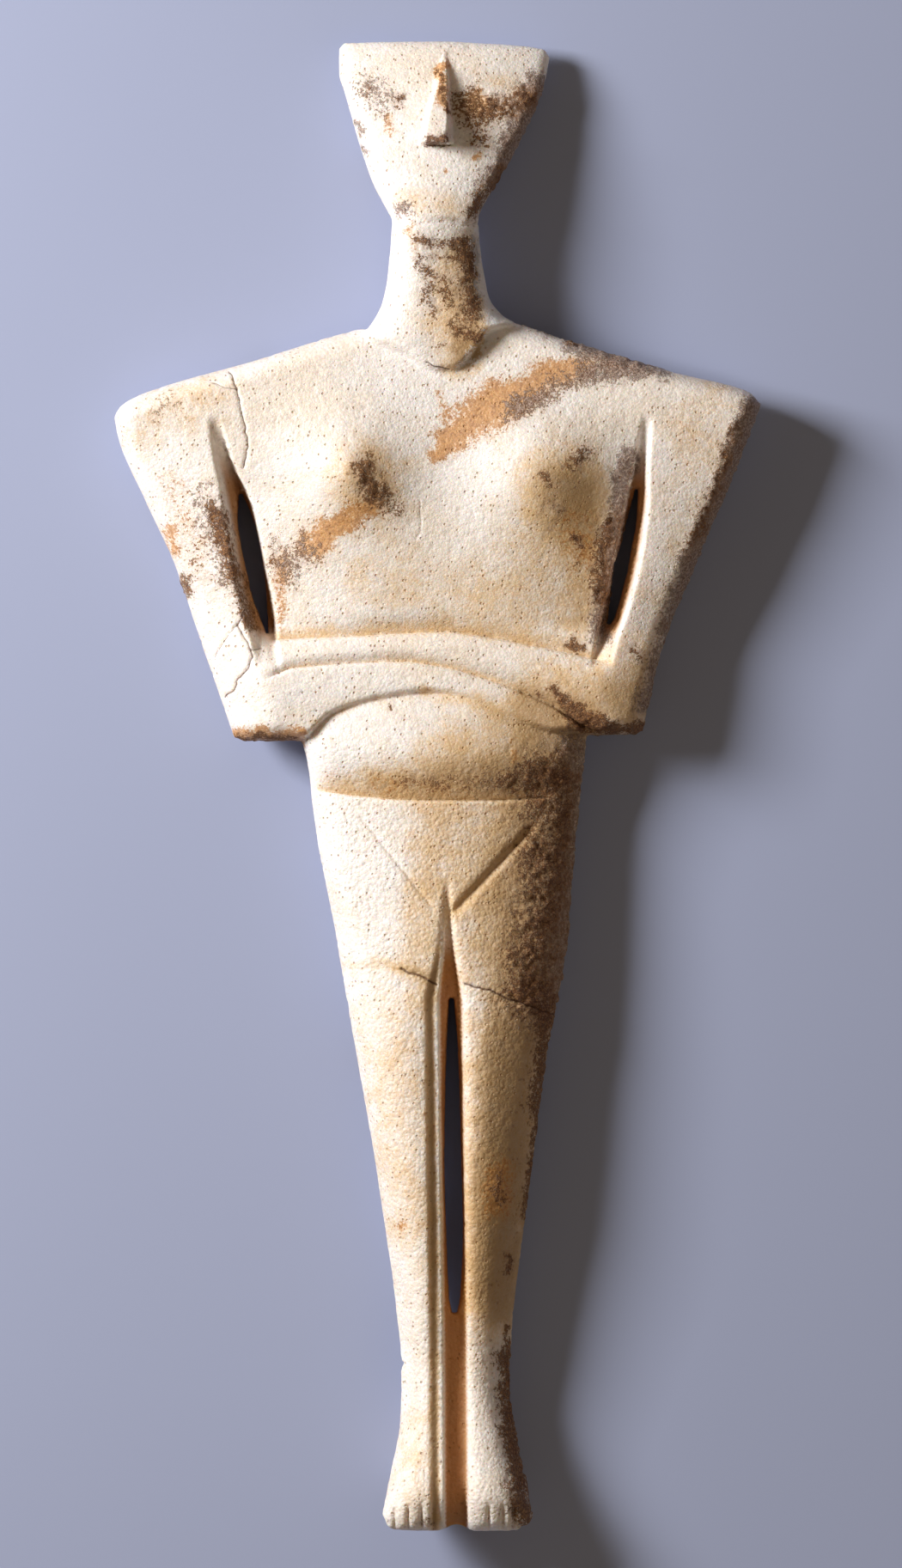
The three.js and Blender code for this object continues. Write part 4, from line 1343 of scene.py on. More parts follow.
@dataclass(frozen=True)
class Weathering:
    """How age has roughened the stone. All heights are in thousandths of the figure's height."""

    lumps: Noise = Noise(1.0, 3.6, 31, 2)
    lump_level: float = 0.45
    lump_limit: float = 1.4
    fine: Noise = Noise(1.0, 2.0, 33, 1)
    thin_crust: tuple[float, float] = (0.55, 0.25)
    thick_crust: tuple[float, float] = (0.5, 0.3)
    waves: tuple[Noise, Noise] = (Noise(0.25, 26, 35), Noise(0.07, 5.5, 36, 2))
    stone_pits: PitField = PitField(0.2, 6, 0.4, 51)
    crust_pits: PitField = PitField(0.5, 4.5, 0.7, 56)
    crack_behind: float = 0.3
    wear: Noise = Noise(0.25, 40, 61)
    wear_levels: tuple[float, float] = (0.3, 0.7)
    wear_grows: tuple[float, float] = (60, -50)
    least_wear: float = 0.1
    grit: Noise = Noise(1.0, 2.7, 62, 1)
    grit_height: float = 0.18

    def coarseness(self, places: np.ndarray) -> np.ndarray:
        """How coarsely the surface has worn, from the smooth chest down to the rough legs.

        Args:
            places: The points as rows of three numbers.

        Returns:
            A value up to 1 for each point.
        """
        least, more = self.wear_levels
        worn = least + more * smooth_step(*self.wear_grows, places[:, 1]) + self.wear.at(places)
        return np.clip(worn, self.least_wear, 1)

    def relief(self, places: np.ndarray, crust: np.ndarray, coarse: np.ndarray,
               cuts: np.ndarray) -> np.ndarray:
        """How far the surface stands out.

        It is the crust times its thin relief plus the crust's cube times its thick relief, plus the
        waves, less the pits and cuts, plus the grit times the coarseness.

        Args:
            places: The points as rows of three numbers.
            crust: How strong the crust is at each of them.
            coarse: How coarsely each has worn.
            cuts: How deep the cracks are there.

        Returns:
            The height above the carved surface at each point.
        """
        x, y = places[:, 0], places[:, 1]
        lumps = np.clip(self.lump_level + self.lumps.at(places), 0, self.lump_limit)
        fine = self.fine.at(places)
        thin = self.thin_crust[0] * lumps + self.thin_crust[1] * fine
        thick = self.thick_crust[0] * lumps + self.thick_crust[1] * fine
        relief = crust * thin + crust ** 3 * thick
        relief += self.waves[0].at(places) + self.waves[1].at(places)
        relief -= self.stone_pits.at(x, y) + crust * self.crust_pits.at(x, y)
        relief -= cuts
        return relief + self.grit_height * coarse * self.grit.at(places)


@dataclass(frozen=True)
class BackPatina:
    """Plain patchy stains on the back."""

    patches: Noise = Noise(1.0, 46, 71)
    patch_levels: tuple[float, float] = (0.1, 0.9)
    specks: Noise = Noise(1.0, 15, 72)
    speck_levels: tuple[float, float] = (0.45, 0.9)
    crusts: Noise = Noise(1.0, 30, 73)
    crust_levels: tuple[float, float] = (0.3, 1.0)
    ochre: float = 0.55
    rust: float = 0.4
    brown: float = 0.55
    violet: float = 0.6

    def masks(self, places: np.ndarray) -> dict[str, np.ndarray]:
        """Strength of each kind of stain on the back.

        Args:
            places: The points as rows of three numbers.

        Returns:
            The strengths at the points, under the kinds' names.
        """
        patch = smooth_step(*self.patch_levels, self.patches.at(places))
        speck = smooth_step(*self.speck_levels, self.specks.at(places))
        crust = smooth_step(*self.crust_levels, self.crusts.at(places))
        return {OCHRE.value: self.ochre * patch, RUST.value: self.rust * speck,
                BROWN.value: self.brown * speck * patch, VIOLET.value: self.violet * crust,
                PALE.value: np.zeros(len(places))}


@dataclass
class Figurine:
    """The whole carved figure: its blocks joined, slots pierced, surface aged and stained."""

    head: Head = Head()
    neck: Neck = Neck()
    chest: Chest = Chest()
    lower: Lower = Lower()
    holes: tuple[SlotHole, ...] = (
        SlotHole(102, 196,
                 line((102, -115), (123, -123), (143, -128), (161, -132), (179, -134), (196, -133)),
                 line((102, -113.4), (121, -114.5), (136, -115.6), (154, -118), (169, -121), (183, -125.5),
                      (196, -131))),
        SlotHole(108, 199,
                 line((108, 114), (118, 115), (146, 118), (160, 122.5), (174, 126), (199, 133)),
                 line((108, 116.5), (118, 121), (132, 124.9), (146, 128.3), (160, 130.6), (174, 133.5),
                      (199, 135))),
        SlotHole(-354, -143,
                 line((-354, 10), (-344, 8), (-298, 6), (-252, 5), (-183, 6), (-143, 8)),
                 line((-354, 13), (-344, 15), (-298, 17), (-252, 16), (-183, 14), (-143, 11))),
    )
    front_pitch: float = 1.75
    front_clear: float = 2.6
    back_pitch: float = 4.4
    back_clear: float = 3.2
    back_rows: tuple[float, ...] = (0.35, 1.6)
    back_every: int = 2
    forearm_reach: float = 112
    belly_reach: float = 84
    nose_reach: float = 13
    step_rows: tuple[float, ...] = (0.0, -0.85, -1.7)
    arch_rows: tuple[float, ...] = (1.6, 0.7, 0.0)
    waist_rows: tuple[float, ...] = (0.0, -0.8, -1.6)
    groin_rows: tuple[float, ...] = (-1.8, -0.9, 0.0, 0.9, 1.8)
    toe_rows: tuple[float, ...] = (-1.0, 0.0, 1.0)
    neck_fillet: Line = line((-40, 12), (0, 3), (30, 2))
    hip_fillet: float = 2.5
    chin_fillet: float = 1.5
    rim_smoothing: int = 9
    ragged_across: tuple[Noise, Noise] = (Noise(2.6, 9, 11), Noise(1.2, 2.6, 12, 1))
    ragged_along: tuple[Noise, Noise] = (Noise(2.6, 9, 21), Noise(1.2, 2.6, 22, 1))
    channels_above: float = 40
    # Ochre dirt and painted shade on the cleft's bevel and the slopes above the forearm and waist steps
    bevel_dirt_and_shade: float = 0.85
    forearm_dirt_and_shade: float = 0.5
    waist_dirt_and_shade: float = 0.8
    weathering: Weathering = Weathering()
    back_patina: BackPatina = BackPatina()
    plan: Plan = field(init=False)

    def __post_init__(self) -> None:
        """Sets up the plan from the blocks and slots."""
        self.plan = Plan((self.head, self.neck, self.chest, self.lower), self.holes)

    def creases(self) -> tuple[tuple[np.ndarray, tuple[float, ...]], ...]:
        """The front's sharp lines.

        Returns:
            For each line its places as rows, and the distances of the point rows beside it.
        """
        chest, lower, nose = self.chest, self.lower, self.head.nose
        across = np.linspace(-self.forearm_reach, self.forearm_reach, 200)
        over = np.stack([across, chest.forearm_top(across)], axis=1)
        split = np.stack([across, chest.forearm_split(across)], axis=1)
        narrow = across[np.abs(across) < self.belly_reach]
        arch = np.stack([narrow, chest.bottom(narrow)], axis=1)
        waist = np.stack([narrow, lower.waist(narrow)], axis=1)
        base = np.array([(-self.nose_reach, nose.base), (self.nose_reach, nose.base)])
        found = [(over, self.step_rows), (split, self.step_rows), (arch, self.arch_rows),
                 (waist, self.waist_rows), (base, (-nose.underside, 0.0, nose.underside))]
        found += [(np.array([cut.start, cut.end]), self.groin_rows) for cut in lower.groin]
        along = np.linspace(nose.base + 1, nose.top, 60)
        found += [(np.stack([edge(along), along], axis=1), (0.0,))
                  for edge in (nose.ridge_left, nose.ridge_right, nose.flank_left, nose.flank_right)]
        found += [(np.array([(cut, lower.toe_from), (cut, lower.toe_end)]), self.toe_rows)
                  for cut in lower.toe_cuts]
        found += [(crack.trail(), crack.rows) for crack in CRACKS]
        return tuple(found)

    def surfaces(self, x: np.ndarray, y: np.ndarray) -> tuple[np.ndarray, np.ndarray]:
        """Heights of the joined front and back.

        The front is the highest of the blocks' fronts and the back the lowest of their backs, with
        fillets, and beside a slot both fall to the middle height as at any rounded edge.

        Args:
            x: Places across.
            y: Places along.

        Returns:
            The front's and the back's heights.
        """
        front, back = self.chest.surfaces(x, y)
        joints = ((self.lower, self.hip_fillet), (self.neck, self.neck_fillet(x)),
                  (self.head, self.chin_fillet))
        for block, fillet in joints:
            other_front, other_back = block.surfaces(x, y)
            front = soft_max(front, other_front, fillet)
            back = -soft_max(-back, -other_back, fillet)
        middle = (front + back) / 2
        away = self.plan.to_edge(x, y, self.plan.loops[1:])
        risen = rise(away, self.holes[0].edge)
        return middle + (front - middle) * risen, middle + (back - middle) * risen

    def rim_heights(self) -> np.ndarray:
        """Heights on the outline and slots: the middle of the block that holds each point best.

        Returns:
            The heights, smoothed along each loop by a moving average.
        """
        count = self.rim_smoothing
        kernel = np.hanning(count + 2)[1:-1]
        heights = []
        for loop in self.plan.loops:
            x, y = loop.T
            blocks = self.plan.blocks
            held = np.stack([block.inside(x, y) for block in blocks])
            middles = np.stack([block.middle(x, y) for block in blocks])
            best = np.take_along_axis(middles, held.argmax(axis=0)[None], axis=0)[0]
            padded = np.concatenate([best[-count:], best, best[:count]])
            heights.append(np.convolve(padded, kernel / kernel.sum(), "same")[count:-count])
        return np.concatenate(heights)

    def front_masks(self, places: np.ndarray) -> dict[str, np.ndarray]:
        """Strength of each kind of stain at places on the front, with ragged borders.

        The places are first shifted by noise, and stains of one kind add up as 1 - (1-a)(1-b).

        Args:
            places: The points as rows of three numbers.

        Returns:
            The strengths at the points, under the kinds' names.
        """
        x, y = places[:, 0], places[:, 1]
        shifted_x = x + self.ragged_across[0].at(places) + self.ragged_across[1].at(places)
        shifted_y = y + self.ragged_along[0].at(places) + self.ragged_along[1].at(places)
        clear = {kind.value: np.ones(len(x)) for kind in Kind}
        for stain in STAINS:
            clear[stain.kind.value] *= 1 - stain.mask(shifted_x, shifted_y)
        return {name: 1 - rest for name, rest in clear.items()}

    def masks(self, places: np.ndarray, is_back: np.ndarray) -> dict[str, np.ndarray]:
        """Strength of the stains on both sides, of the patina and painted shade in the hollows, and of the
        dirt and painted shade on the groove slopes and the cleft's bevel.

        Args:
            places: The points as rows of three numbers.
            is_back: Whether each point belongs to the back alone.

        Returns:
            The strengths at the points, under their names.
        """
        x, y = places[:, 0], places[:, 1]
        behind = self.back_patina.masks(places)
        masks = {name: np.where(is_back, behind[name], mask)
                 for name, mask in self.front_masks(places).items()}
        chest, cleft = self.chest, self.lower.cleft
        # Amber patina and painted shade in the channels and the cleft, darker where they are deeper
        in_channel = chest.channel_share(x, y) * chest.channels[0].front_depth(y) / chest.channel_depth
        in_cleft = cleft.share(x, y) * smooth_step(0, cleft.dark_depth, cleft.front_depth(y))
        masks["hollow_patina_and_shade"] = np.clip(np.where(y > self.channels_above, in_channel, in_cleft), 0, 1)
        # Ochre on the cleft's bevel and the slopes above the steps: dirt, and painted shade where they
        # face away from the key light
        settled_dirt_and_shade = (self.bevel_dirt_and_shade * cleft.bevel_share(x, y) + self.forearm_dirt_and_shade * chest.settled_dirt_and_shade(x, y)
                   + self.waist_dirt_and_shade * self.lower.settled_dirt_and_shade(x, y))
        ochre = OCHRE.value
        masks[ochre] = 1 - (1 - masks[ochre]) * (1 - np.clip(settled_dirt_and_shade, 0, 1) * ~is_back)
        return masks

    def build(self) -> bpy.types.Object:
        """Makes the figure's mesh with its relief and stains.

        Returns:
            The mesh object, unplaced and undressed.
        """
        plan = self.plan
        plan.build()
        rim = np.concatenate(plan.loops)
        front_inner = np.concatenate([plan.beside(plan.rows, 1), plan.crisp(self.creases()),
                                      plan.lattice(self.front_pitch, self.front_clear)])
        back_inner = np.concatenate([plan.beside(self.back_rows, self.back_every),
                                     plan.lattice(self.back_pitch, self.back_clear)])
        front_faces = plan.triangles(front_inner)
        back_faces = plan.triangles(back_inner)
        front_z = self.surfaces(*front_inner.T)[0]
        back_z = self.surfaces(*back_inner.T)[1]
        plan_points = np.concatenate([rim, front_inner, back_inner])
        heights = np.concatenate([self.rim_heights(), front_z, back_z])
        shift = np.where(back_faces >= len(rim), len(front_inner), 0)
        faces = np.concatenate([front_faces, (back_faces + shift)[:, ::-1]])
        places = np.column_stack([plan_points, heights])
        is_back = np.arange(len(places)) >= len(rim) + len(front_inner)
        LOG.info("figurine: %d points, %d triangles", len(places), len(faces))
        return self.finished(places, faces, is_back)

    @staticmethod
    def normals(places: np.ndarray, faces: np.ndarray) -> np.ndarray:
        """Outward directions at the points: the sum of the cross products of their triangles.

        Args:
            places: The points as rows of three numbers.
            faces: Rows of three indices.

        Returns:
            A direction of length 1 for each point.
        """
        corners = places[faces]
        cross = np.cross(corners[:, 1] - corners[:, 0], corners[:, 2] - corners[:, 0])
        total = np.stack([
            np.bincount(faces.ravel(), np.repeat(cross[:, i], 3), len(places)) for i in range(3)
        ], axis=1)
        return total / np.maximum(np.linalg.norm(total, axis=1), 1e-12)[:, None]

    def finished(self, places: np.ndarray, faces: np.ndarray, is_back: np.ndarray) -> bpy.types.Object:
        """Adds the relief and the stain values and puts the arrays into a mesh.

        Args:
            places: The points, in thousandths of the height.
            faces: Rows of three indices.
            is_back: Whether each point belongs to the back alone.

        Returns:
            The mesh object.
        """
        weathering = self.weathering
        masks = self.masks(places, is_back)
        cuts = np.sum([crack.depth_at(places[:, 0], places[:, 1]) for crack in CRACKS], axis=0)
        masks["coarse"] = weathering.coarseness(places)
        masks["crack"] = np.clip(cuts, 0, 1) * ~is_back
        crust = np.clip(masks[BROWN.value] + masks[VIOLET.value], 0, 1)
        cut_in = np.where(is_back, weathering.crack_behind, 1.0) * cuts
        relief = weathering.relief(places, crust, masks["coarse"], cut_in)
        moved = places + self.normals(places, faces) * relief[:, None]
        moved[:, 2] = np.maximum(moved[:, 2], 0)
        mesh = bpy.data.meshes.new("carved_marble")
        mesh.from_pydata((moved * SHARE).tolist(), [], faces.tolist())
        mesh.polygons.foreach_set("use_smooth", np.ones(len(faces), dtype=bool))
        for name, mask in masks.items():
            attribute = mesh.attributes.new(name, "FLOAT", "POINT")
            attribute.data.foreach_set("value", mask.astype(np.float32))
        mesh.update()
        piece = bpy.data.objects.new("carved_figurine", mesh)
        bpy.context.scene.collection.objects.link(piece)
        return piece


@dataclass
class Wiring:
    """Adds and joins the nodes of one node tree."""

    tree: bpy.types.NodeTree

    def feed(self, socket: bpy.types.NodeSocket, value: object) -> None:
        """Joins a socket to another one, or sets its value.

        Args:
            socket: An input socket.
            value: A socket that feeds it, or its value.
        """
        if isinstance(value, bpy.types.NodeSocket):
            self.tree.links.new(value, socket)
        else:
            socket.default_value = value

    def node(self, kind: str, inputs: dict[str | int, object] | None = None,
             **values: object) -> bpy.types.Node:
        """Adds a node, sets its properties and feeds its inputs.

        Args:
            kind: The node's type.
            inputs: What feeds its inputs, by their names or numbers.
            values: Its properties by name.

        Returns:
            The node.
        """
        made = self.tree.nodes.new(kind)
        for name, value in values.items():
            setattr(made, name, value)
        for name, value in (inputs or {}).items():
            self.feed(made.inputs[name], value)
        return made

    def math(self, operation: str, first: object, second: object) -> bpy.types.NodeSocket:
        """A math node's result."""
        return self.node("ShaderNodeMath", {0: first, 1: second}, operation=operation).outputs[0]

    def total(self, *parts: tuple[object, float]) -> bpy.types.NodeSocket:
        """The sum of values, each times its weight.

        Args:
            parts: Each value with its weight.

        Returns:
            The sum's socket.
        """
        result: object = 0.0
        for value, weight in parts:
            inputs = {0: value, 1: weight, 2: result}
            result = self.node("ShaderNodeMath", inputs, operation="MULTIPLY_ADD").outputs[0]
        return result

    def mix(self, factor: object, first: object, second: object,
            blend: str = "MIX") -> bpy.types.NodeSocket:
        """A colour between two, by a factor."""
        # Of the node's sockets for all data types, 6 and 7 take its colours and 2 gives the result
        return self.node("ShaderNodeMix", {0: factor, 6: first, 7: second}, data_type="RGBA",
                         blend_type=blend, clamp_factor=True).outputs[2]

    def noise(self, where: object, scale: float, detail: float, roughness: float) -> bpy.types.NodeSocket:
        """A noise value from 0 to 1; the scale counts its features in each metre."""
        inputs = {"Vector": where, "Scale": scale, "Detail": detail, "Roughness": roughness}
        return self.node("ShaderNodeTexNoise", inputs, noise_dimensions="3D").outputs[0]

    def cells(self, where: object, scale: float) -> tuple[bpy.types.NodeSocket, bpy.types.Node]:
        """Distances to scattered points, and the three random values that each point's cell holds."""
        made = self.node("ShaderNodeTexVoronoi", {"Vector": where, "Scale": scale}, feature="F1")
        return made.outputs["Distance"], self.node("ShaderNodeSeparateColor", {0: made.outputs["Color"]})

    def ramp(self, value: object, low: object, high: object) -> bpy.types.NodeSocket:
        """0 up to low and 1 from high, smoothly between them."""
        inputs = {"Value": value, "From Min": low, "From Max": high}
        return self.node("ShaderNodeMapRange", inputs, interpolation_type="SMOOTHSTEP").outputs[0]

    def stored(self, attribute: str) -> bpy.types.NodeSocket:
        """A value stored on the mesh's points."""
        return self.node("ShaderNodeAttribute", attribute_name=attribute).outputs["Fac"]

    def placed(self, group: bpy.types.NodeTree, inputs: dict[str, object]) -> bpy.types.NodeOutputs:
        """Adds a node group with its inputs fed, and gives its outputs."""
        return self.node("ShaderNodeGroup", inputs, node_tree=group).outputs


def new_group(name: str, inputs: tuple[tuple[str, str], ...],
              outputs: tuple[str, ...]) -> tuple[Wiring, bpy.types.Node, bpy.types.Node]:
    """Starts a shader node group.

    Args:
        name: The group's name.
        inputs: Each input's name and its socket type.
        outputs: The names of its outputs, all values.

    Returns:
        The group's wiring, its input node and its output node.
    """
    tree = bpy.data.node_groups.new(name, "ShaderNodeTree")
    for label, kind in inputs:
        tree.interface.new_socket(label, in_out="INPUT", socket_type=kind)
    for label in outputs:
        tree.interface.new_socket(label, in_out="OUTPUT", socket_type="NodeSocketFloat")
    wiring = Wiring(tree)
    return wiring, wiring.node("NodeGroupInput"), wiring.node("NodeGroupOutput")


@dataclass(frozen=True)
class Grain:
    """Coarse marble grain: crystals, worn unevenness and fine dark pits."""

    crystals_per_metre: float = 1450
    pebbles_per_metre: float = 900
    pits_per_metre: float = 820
    blotches_per_metre: float = 150
    grit_per_metre: float = 1500
    mottle_per_metre: float = 700
    pit_chance: tuple[float, float] = (1.08, 1.25)
    pit_blotches: float = 0.8
    pit_edge: tuple[float, float] = (0.10, 0.34)
    pebble_mottle: float = 0.6
    crystal_height: float = 0.30
    crystal_dome: float = 0.35
    mottle_height: float = 0.55
    grit_height: float = 0.6
    pit_depth: float = 1.5

    def group(self) -> bpy.types.NodeTree:
        """Builds the node group, which turns a place into noise values and a height.

        Returns:
            The node group.
        """
        outputs = ("Crystal", "Sparkle", "Blotch", "Grit", "Mottle", "Pit", "Height")
        inputs = (("Place", "NodeSocketVector"), ("Coarse", "NodeSocketFloat"))
        w, given, out = new_group("marble_grain", inputs, outputs)
        place, coarse = given.outputs["Place"], given.outputs["Coarse"]
        away, draw = w.cells(place, self.crystals_per_metre)
        blotch = w.noise(place, self.blotches_per_metre, 4, 0.62)
        grit = w.noise(place, self.grit_per_metre, 3, 0.7)
        mottle = w.noise(place, self.mottle_per_metre, 4, 0.72)
        pit_away, pit_draw = w.cells(place, self.pits_per_metre)
        chance = w.total((pit_draw.outputs[1], 1.0), (blotch, self.pit_blotches))
        hole = w.math("SUBTRACT", 1.0, w.ramp(pit_away, *self.pit_edge))
        pit = w.math("MULTIPLY", hole, w.ramp(chance, *self.pit_chance))
        pebbles = w.cells(place, self.pebbles_per_metre)[0]
        swell = w.math("MULTIPLY", coarse, w.total((pebbles, -1.0), (mottle, self.pebble_mottle)))
        height = w.total((draw.outputs[1], self.crystal_height), (away, -self.crystal_dome),
                         (mottle, self.mottle_height), (grit, self.grit_height), (pit, -self.pit_depth),
                         (swell, 1.0))
        results = (draw.outputs[0], draw.outputs[2], blotch, grit, mottle, pit, height)
        for name, result in zip(outputs, results):
            w.feed(out.inputs[name], result)
        return w.tree


@dataclass(frozen=True)
class Deposit:
    """How a stain or crust breaks up: in full where it is strong, in specks where it is weak."""

    blotch_share: float = 0.24
    mottle_share: float = 0.36
    grit_share: float = 0.40
    blotch_levels: tuple[float, float] = (0.34, 0.66)
    fine_levels: tuple[float, float] = (0.36, 0.64)
    present_levels: tuple[float, float] = (0.04, 0.3)
    wash_shares: tuple[float, float] = (0.9, 0.5)
    wash_levels: tuple[float, float] = (0.25, 1.1)

    def group(self) -> bpy.types.NodeTree:
        """Builds the node group, which turns a stored strength into a broken mask and a soft wash.

        Returns:
            The node group.
        """
        names = ("Strength", "Blotch", "Mottle", "Grit", "Reach", "Softness")
        kinds = tuple((name, "NodeSocketFloat") for name in names)
        w, given, out = new_group("broken_deposit", kinds, ("Mask", "Wash"))
        strength, blotch, mottle, grit, reach, softness = (given.outputs[name] for name in names)
        pattern = w.total((w.ramp(blotch, *self.blotch_levels), self.blotch_share),
                          (w.ramp(mottle, *self.fine_levels), self.mottle_share),
                          (w.ramp(grit, *self.fine_levels), self.grit_share), (strength, 1.0))
        low = w.math("SUBTRACT", reach, softness)
        high = w.math("ADD", reach, softness)
        present = w.ramp(strength, *self.present_levels)
        soft = w.total((strength, self.wash_shares[0]), (blotch, self.wash_shares[1]))
        w.feed(out.inputs["Mask"], w.math("MULTIPLY", w.ramp(pattern, low, high), present))
        w.feed(out.inputs["Wash"], w.ramp(soft, *self.wash_levels))
        return w.tree


@dataclass(frozen=True)
class Cover:
    """How one kind of stain covers the stone.

    Its mask is full where the strength and the noise together pass the reach, give or take the
    softness. The wash and the mask each hide a share of the colour under them.
    """

    reach: float
    softness: float
    wash: float
    mask: float


@dataclass(frozen=True)
class TwoTone:
    """Two colours, and the levels of a value between which the first gives way to the second."""

    first: Colour
    second: Colour
    levels: tuple[float, float]

    def mixed(self, w: Wiring, value: object) -> bpy.types.NodeSocket:
        """The colour for a value."""
        return w.mix(w.ramp(value, *self.levels), self.first, self.second)


@dataclass(frozen=True)
class AgedMarble:
    """Worn coarse-grained marble with stains, pits and burial crust."""

    white: Colour = (0.88, 0.84, 0.83, 1)
    cream: Colour = (0.80, 0.67, 0.53, 1)
    # Amber: patina and painted shade in the channels and the cleft
    amber: Colour = (0.50, 0.20, 0.022, 1)
    rose: Colour = (0.58, 0.37, 0.27, 1)
    # Bluish white of the pale deposit, which on the neck's right rim also paints a rim highlight
    frost_and_rim_highlight: Colour = (0.82, 0.83, 0.88, 1)
    # Ochre deepens to olive brown where it is strongest, which paints shade on the sides that turn from
    # the key light
    ochre: TwoTone = TwoTone((0.68, 0.42, 0.15, 1), (0.36, 0.19, 0.035, 1), (0.45, 1.0))
    rust: TwoTone = TwoTone((0.68, 0.33, 0.09, 1), (0.38, 0.145, 0.025, 1), (0.40, 0.64))
    violet: TwoTone = TwoTone((0.17, 0.09, 0.065, 1), (0.56, 0.43, 0.37, 1), (0.42, 0.62))
    brown: TwoTone = TwoTone((0.12, 0.042, 0.013, 1), (0.44, 0.22, 0.085, 1), (0.45, 0.68))
    covers: tuple[tuple[Kind, Cover], ...] = (
        (OCHRE, Cover(0.95, 0.30, 0.72, 0.45)),
        (RUST, Cover(1.0, 0.18, 0.30, 0.80)),
        (BROWN, Cover(1.14, 0.10, 0.40, 0.90)),
        (VIOLET, Cover(1.02, 0.14, 0.35, 0.85)),
        (PALE, Cover(1.05, 0.10, 0.0, 0.7)),
    )
    broad_per_metre: float = 26
    tone_shares: tuple[float, float] = (0.7, 0.5)
    tone_levels: tuple[float, float] = (0.46, 0.78)
    cream_share: float = 0.5
    crystal_speckle: float = 0.14
    mottle_speckle: float = 0.30
    speckle_level: float = 0.76
    rust_mottle: float = 0.6
    rust_grit: float = 0.4
    hollow_patina_and_shade_levels: tuple[float, float] = (0.25, 0.95)
    hollow_patina_and_shade_cover: float = 0.88
    pit_cover: float = 0.55
    crack_levels: tuple[float, float] = (0.35, 0.9)
    crack_cover: float = 0.8
    roughness: float = 0.40
    crust_roughness: float = 0.25
    sparkle_roughness: float = 0.22
    bump_height: float = 0.00022
    crust_bump: float = 4.4
    refraction: float = 1.5
    translucency: float = 0.30
    translucency_radius: tuple[float, float, float] = (1.0, 0.55, 0.28)
    translucency_reach: float = 0.004
    grain: Grain = Grain()
    deposit: Deposit = Deposit()

    def stone(self, w: Wiring, place: bpy.types.NodeSocket,
              grain: bpy.types.NodeOutputs) -> bpy.types.NodeSocket:
        """The clean stone's colour: white to cream, with its crystals a little darker or lighter.

        Args:
            w: The material's wiring.
            place: The place in the object.
            grain: The grain group's outputs.

        Returns:
            The colour's socket.
        """
        broad = w.noise(place, self.broad_per_metre, 3, 0.55)
        mottled = w.total((broad, self.tone_shares[0]), (grain["Blotch"], self.tone_shares[1]))
        tone = w.ramp(mottled, *self.tone_levels)
        colour = w.mix(w.math("MULTIPLY", tone, self.cream_share), self.white, self.cream)
        speckle = w.total((grain["Crystal"], self.crystal_speckle), (grain["Mottle"], self.mottle_speckle))
        shade = w.node("ShaderNodeCombineColor")
        for socket in shade.inputs[:3]:
            w.feed(socket, w.math("ADD", speckle, self.speckle_level))
        return w.mix(1.0, colour, shade.outputs[0], "MULTIPLY")

    def stained(self, w: Wiring, colour: bpy.types.NodeSocket, grain: bpy.types.NodeOutputs,
                stains: dict[Kind, bpy.types.NodeOutputs]) -> bpy.types.NodeSocket:
        """Lays the stains, the patina and painted shade in the hollows, the pits and the cracks over the
        stone, in that order.

        Args:
            w: The material's wiring.
            colour: The clean stone's colour.
            grain: The grain group's outputs.
            stains: The masks and washes of each kind of stain.

        Returns:
            The colour's socket.
        """
        cover = dict(self.covers)
        warm = self.ochre.mixed(w, w.stored(OCHRE.value))
        rust_noise = w.total((grain["Mottle"], self.rust_mottle), (grain["Grit"], self.rust_grit))
        hollow_patina_and_shade = w.ramp(w.stored("hollow_patina_and_shade"), *self.hollow_patina_and_shade_levels)
        crack = w.ramp(w.stored("crack"), *self.crack_levels)
        layers = (
            # Ochre stain, in places also painted shade
            (stains[OCHRE]["Wash"], cover[OCHRE].wash, warm),
            (stains[OCHRE]["Mask"], cover[OCHRE].mask, warm),
            # Amber patina and painted shade in the channels and the cleft
            (hollow_patina_and_shade, self.hollow_patina_and_shade_cover, self.amber),
            (stains[RUST]["Wash"], cover[RUST].wash, self.ochre.first),
            (stains[RUST]["Mask"], cover[RUST].mask, self.rust.mixed(w, rust_noise)),
            (stains[VIOLET]["Wash"], cover[VIOLET].wash, self.rose),
            (stains[VIOLET]["Mask"], cover[VIOLET].mask, self.violet.mixed(w, grain["Grit"])),
            (stains[BROWN]["Wash"], cover[BROWN].wash, self.brown.second),
            (stains[BROWN]["Mask"], cover[BROWN].mask, self.brown.mixed(w, grain["Grit"])),
            # Pale deposit and painted rim highlight
            (stains[PALE]["Mask"], cover[PALE].mask, self.frost_and_rim_highlight),
            (grain["Pit"], self.pit_cover, self.brown.second),
            (crack, self.crack_cover, self.brown.first),
        )
        for mask, share, over in layers:
            colour = w.mix(w.math("MULTIPLY", mask, share), colour, over)
        return colour

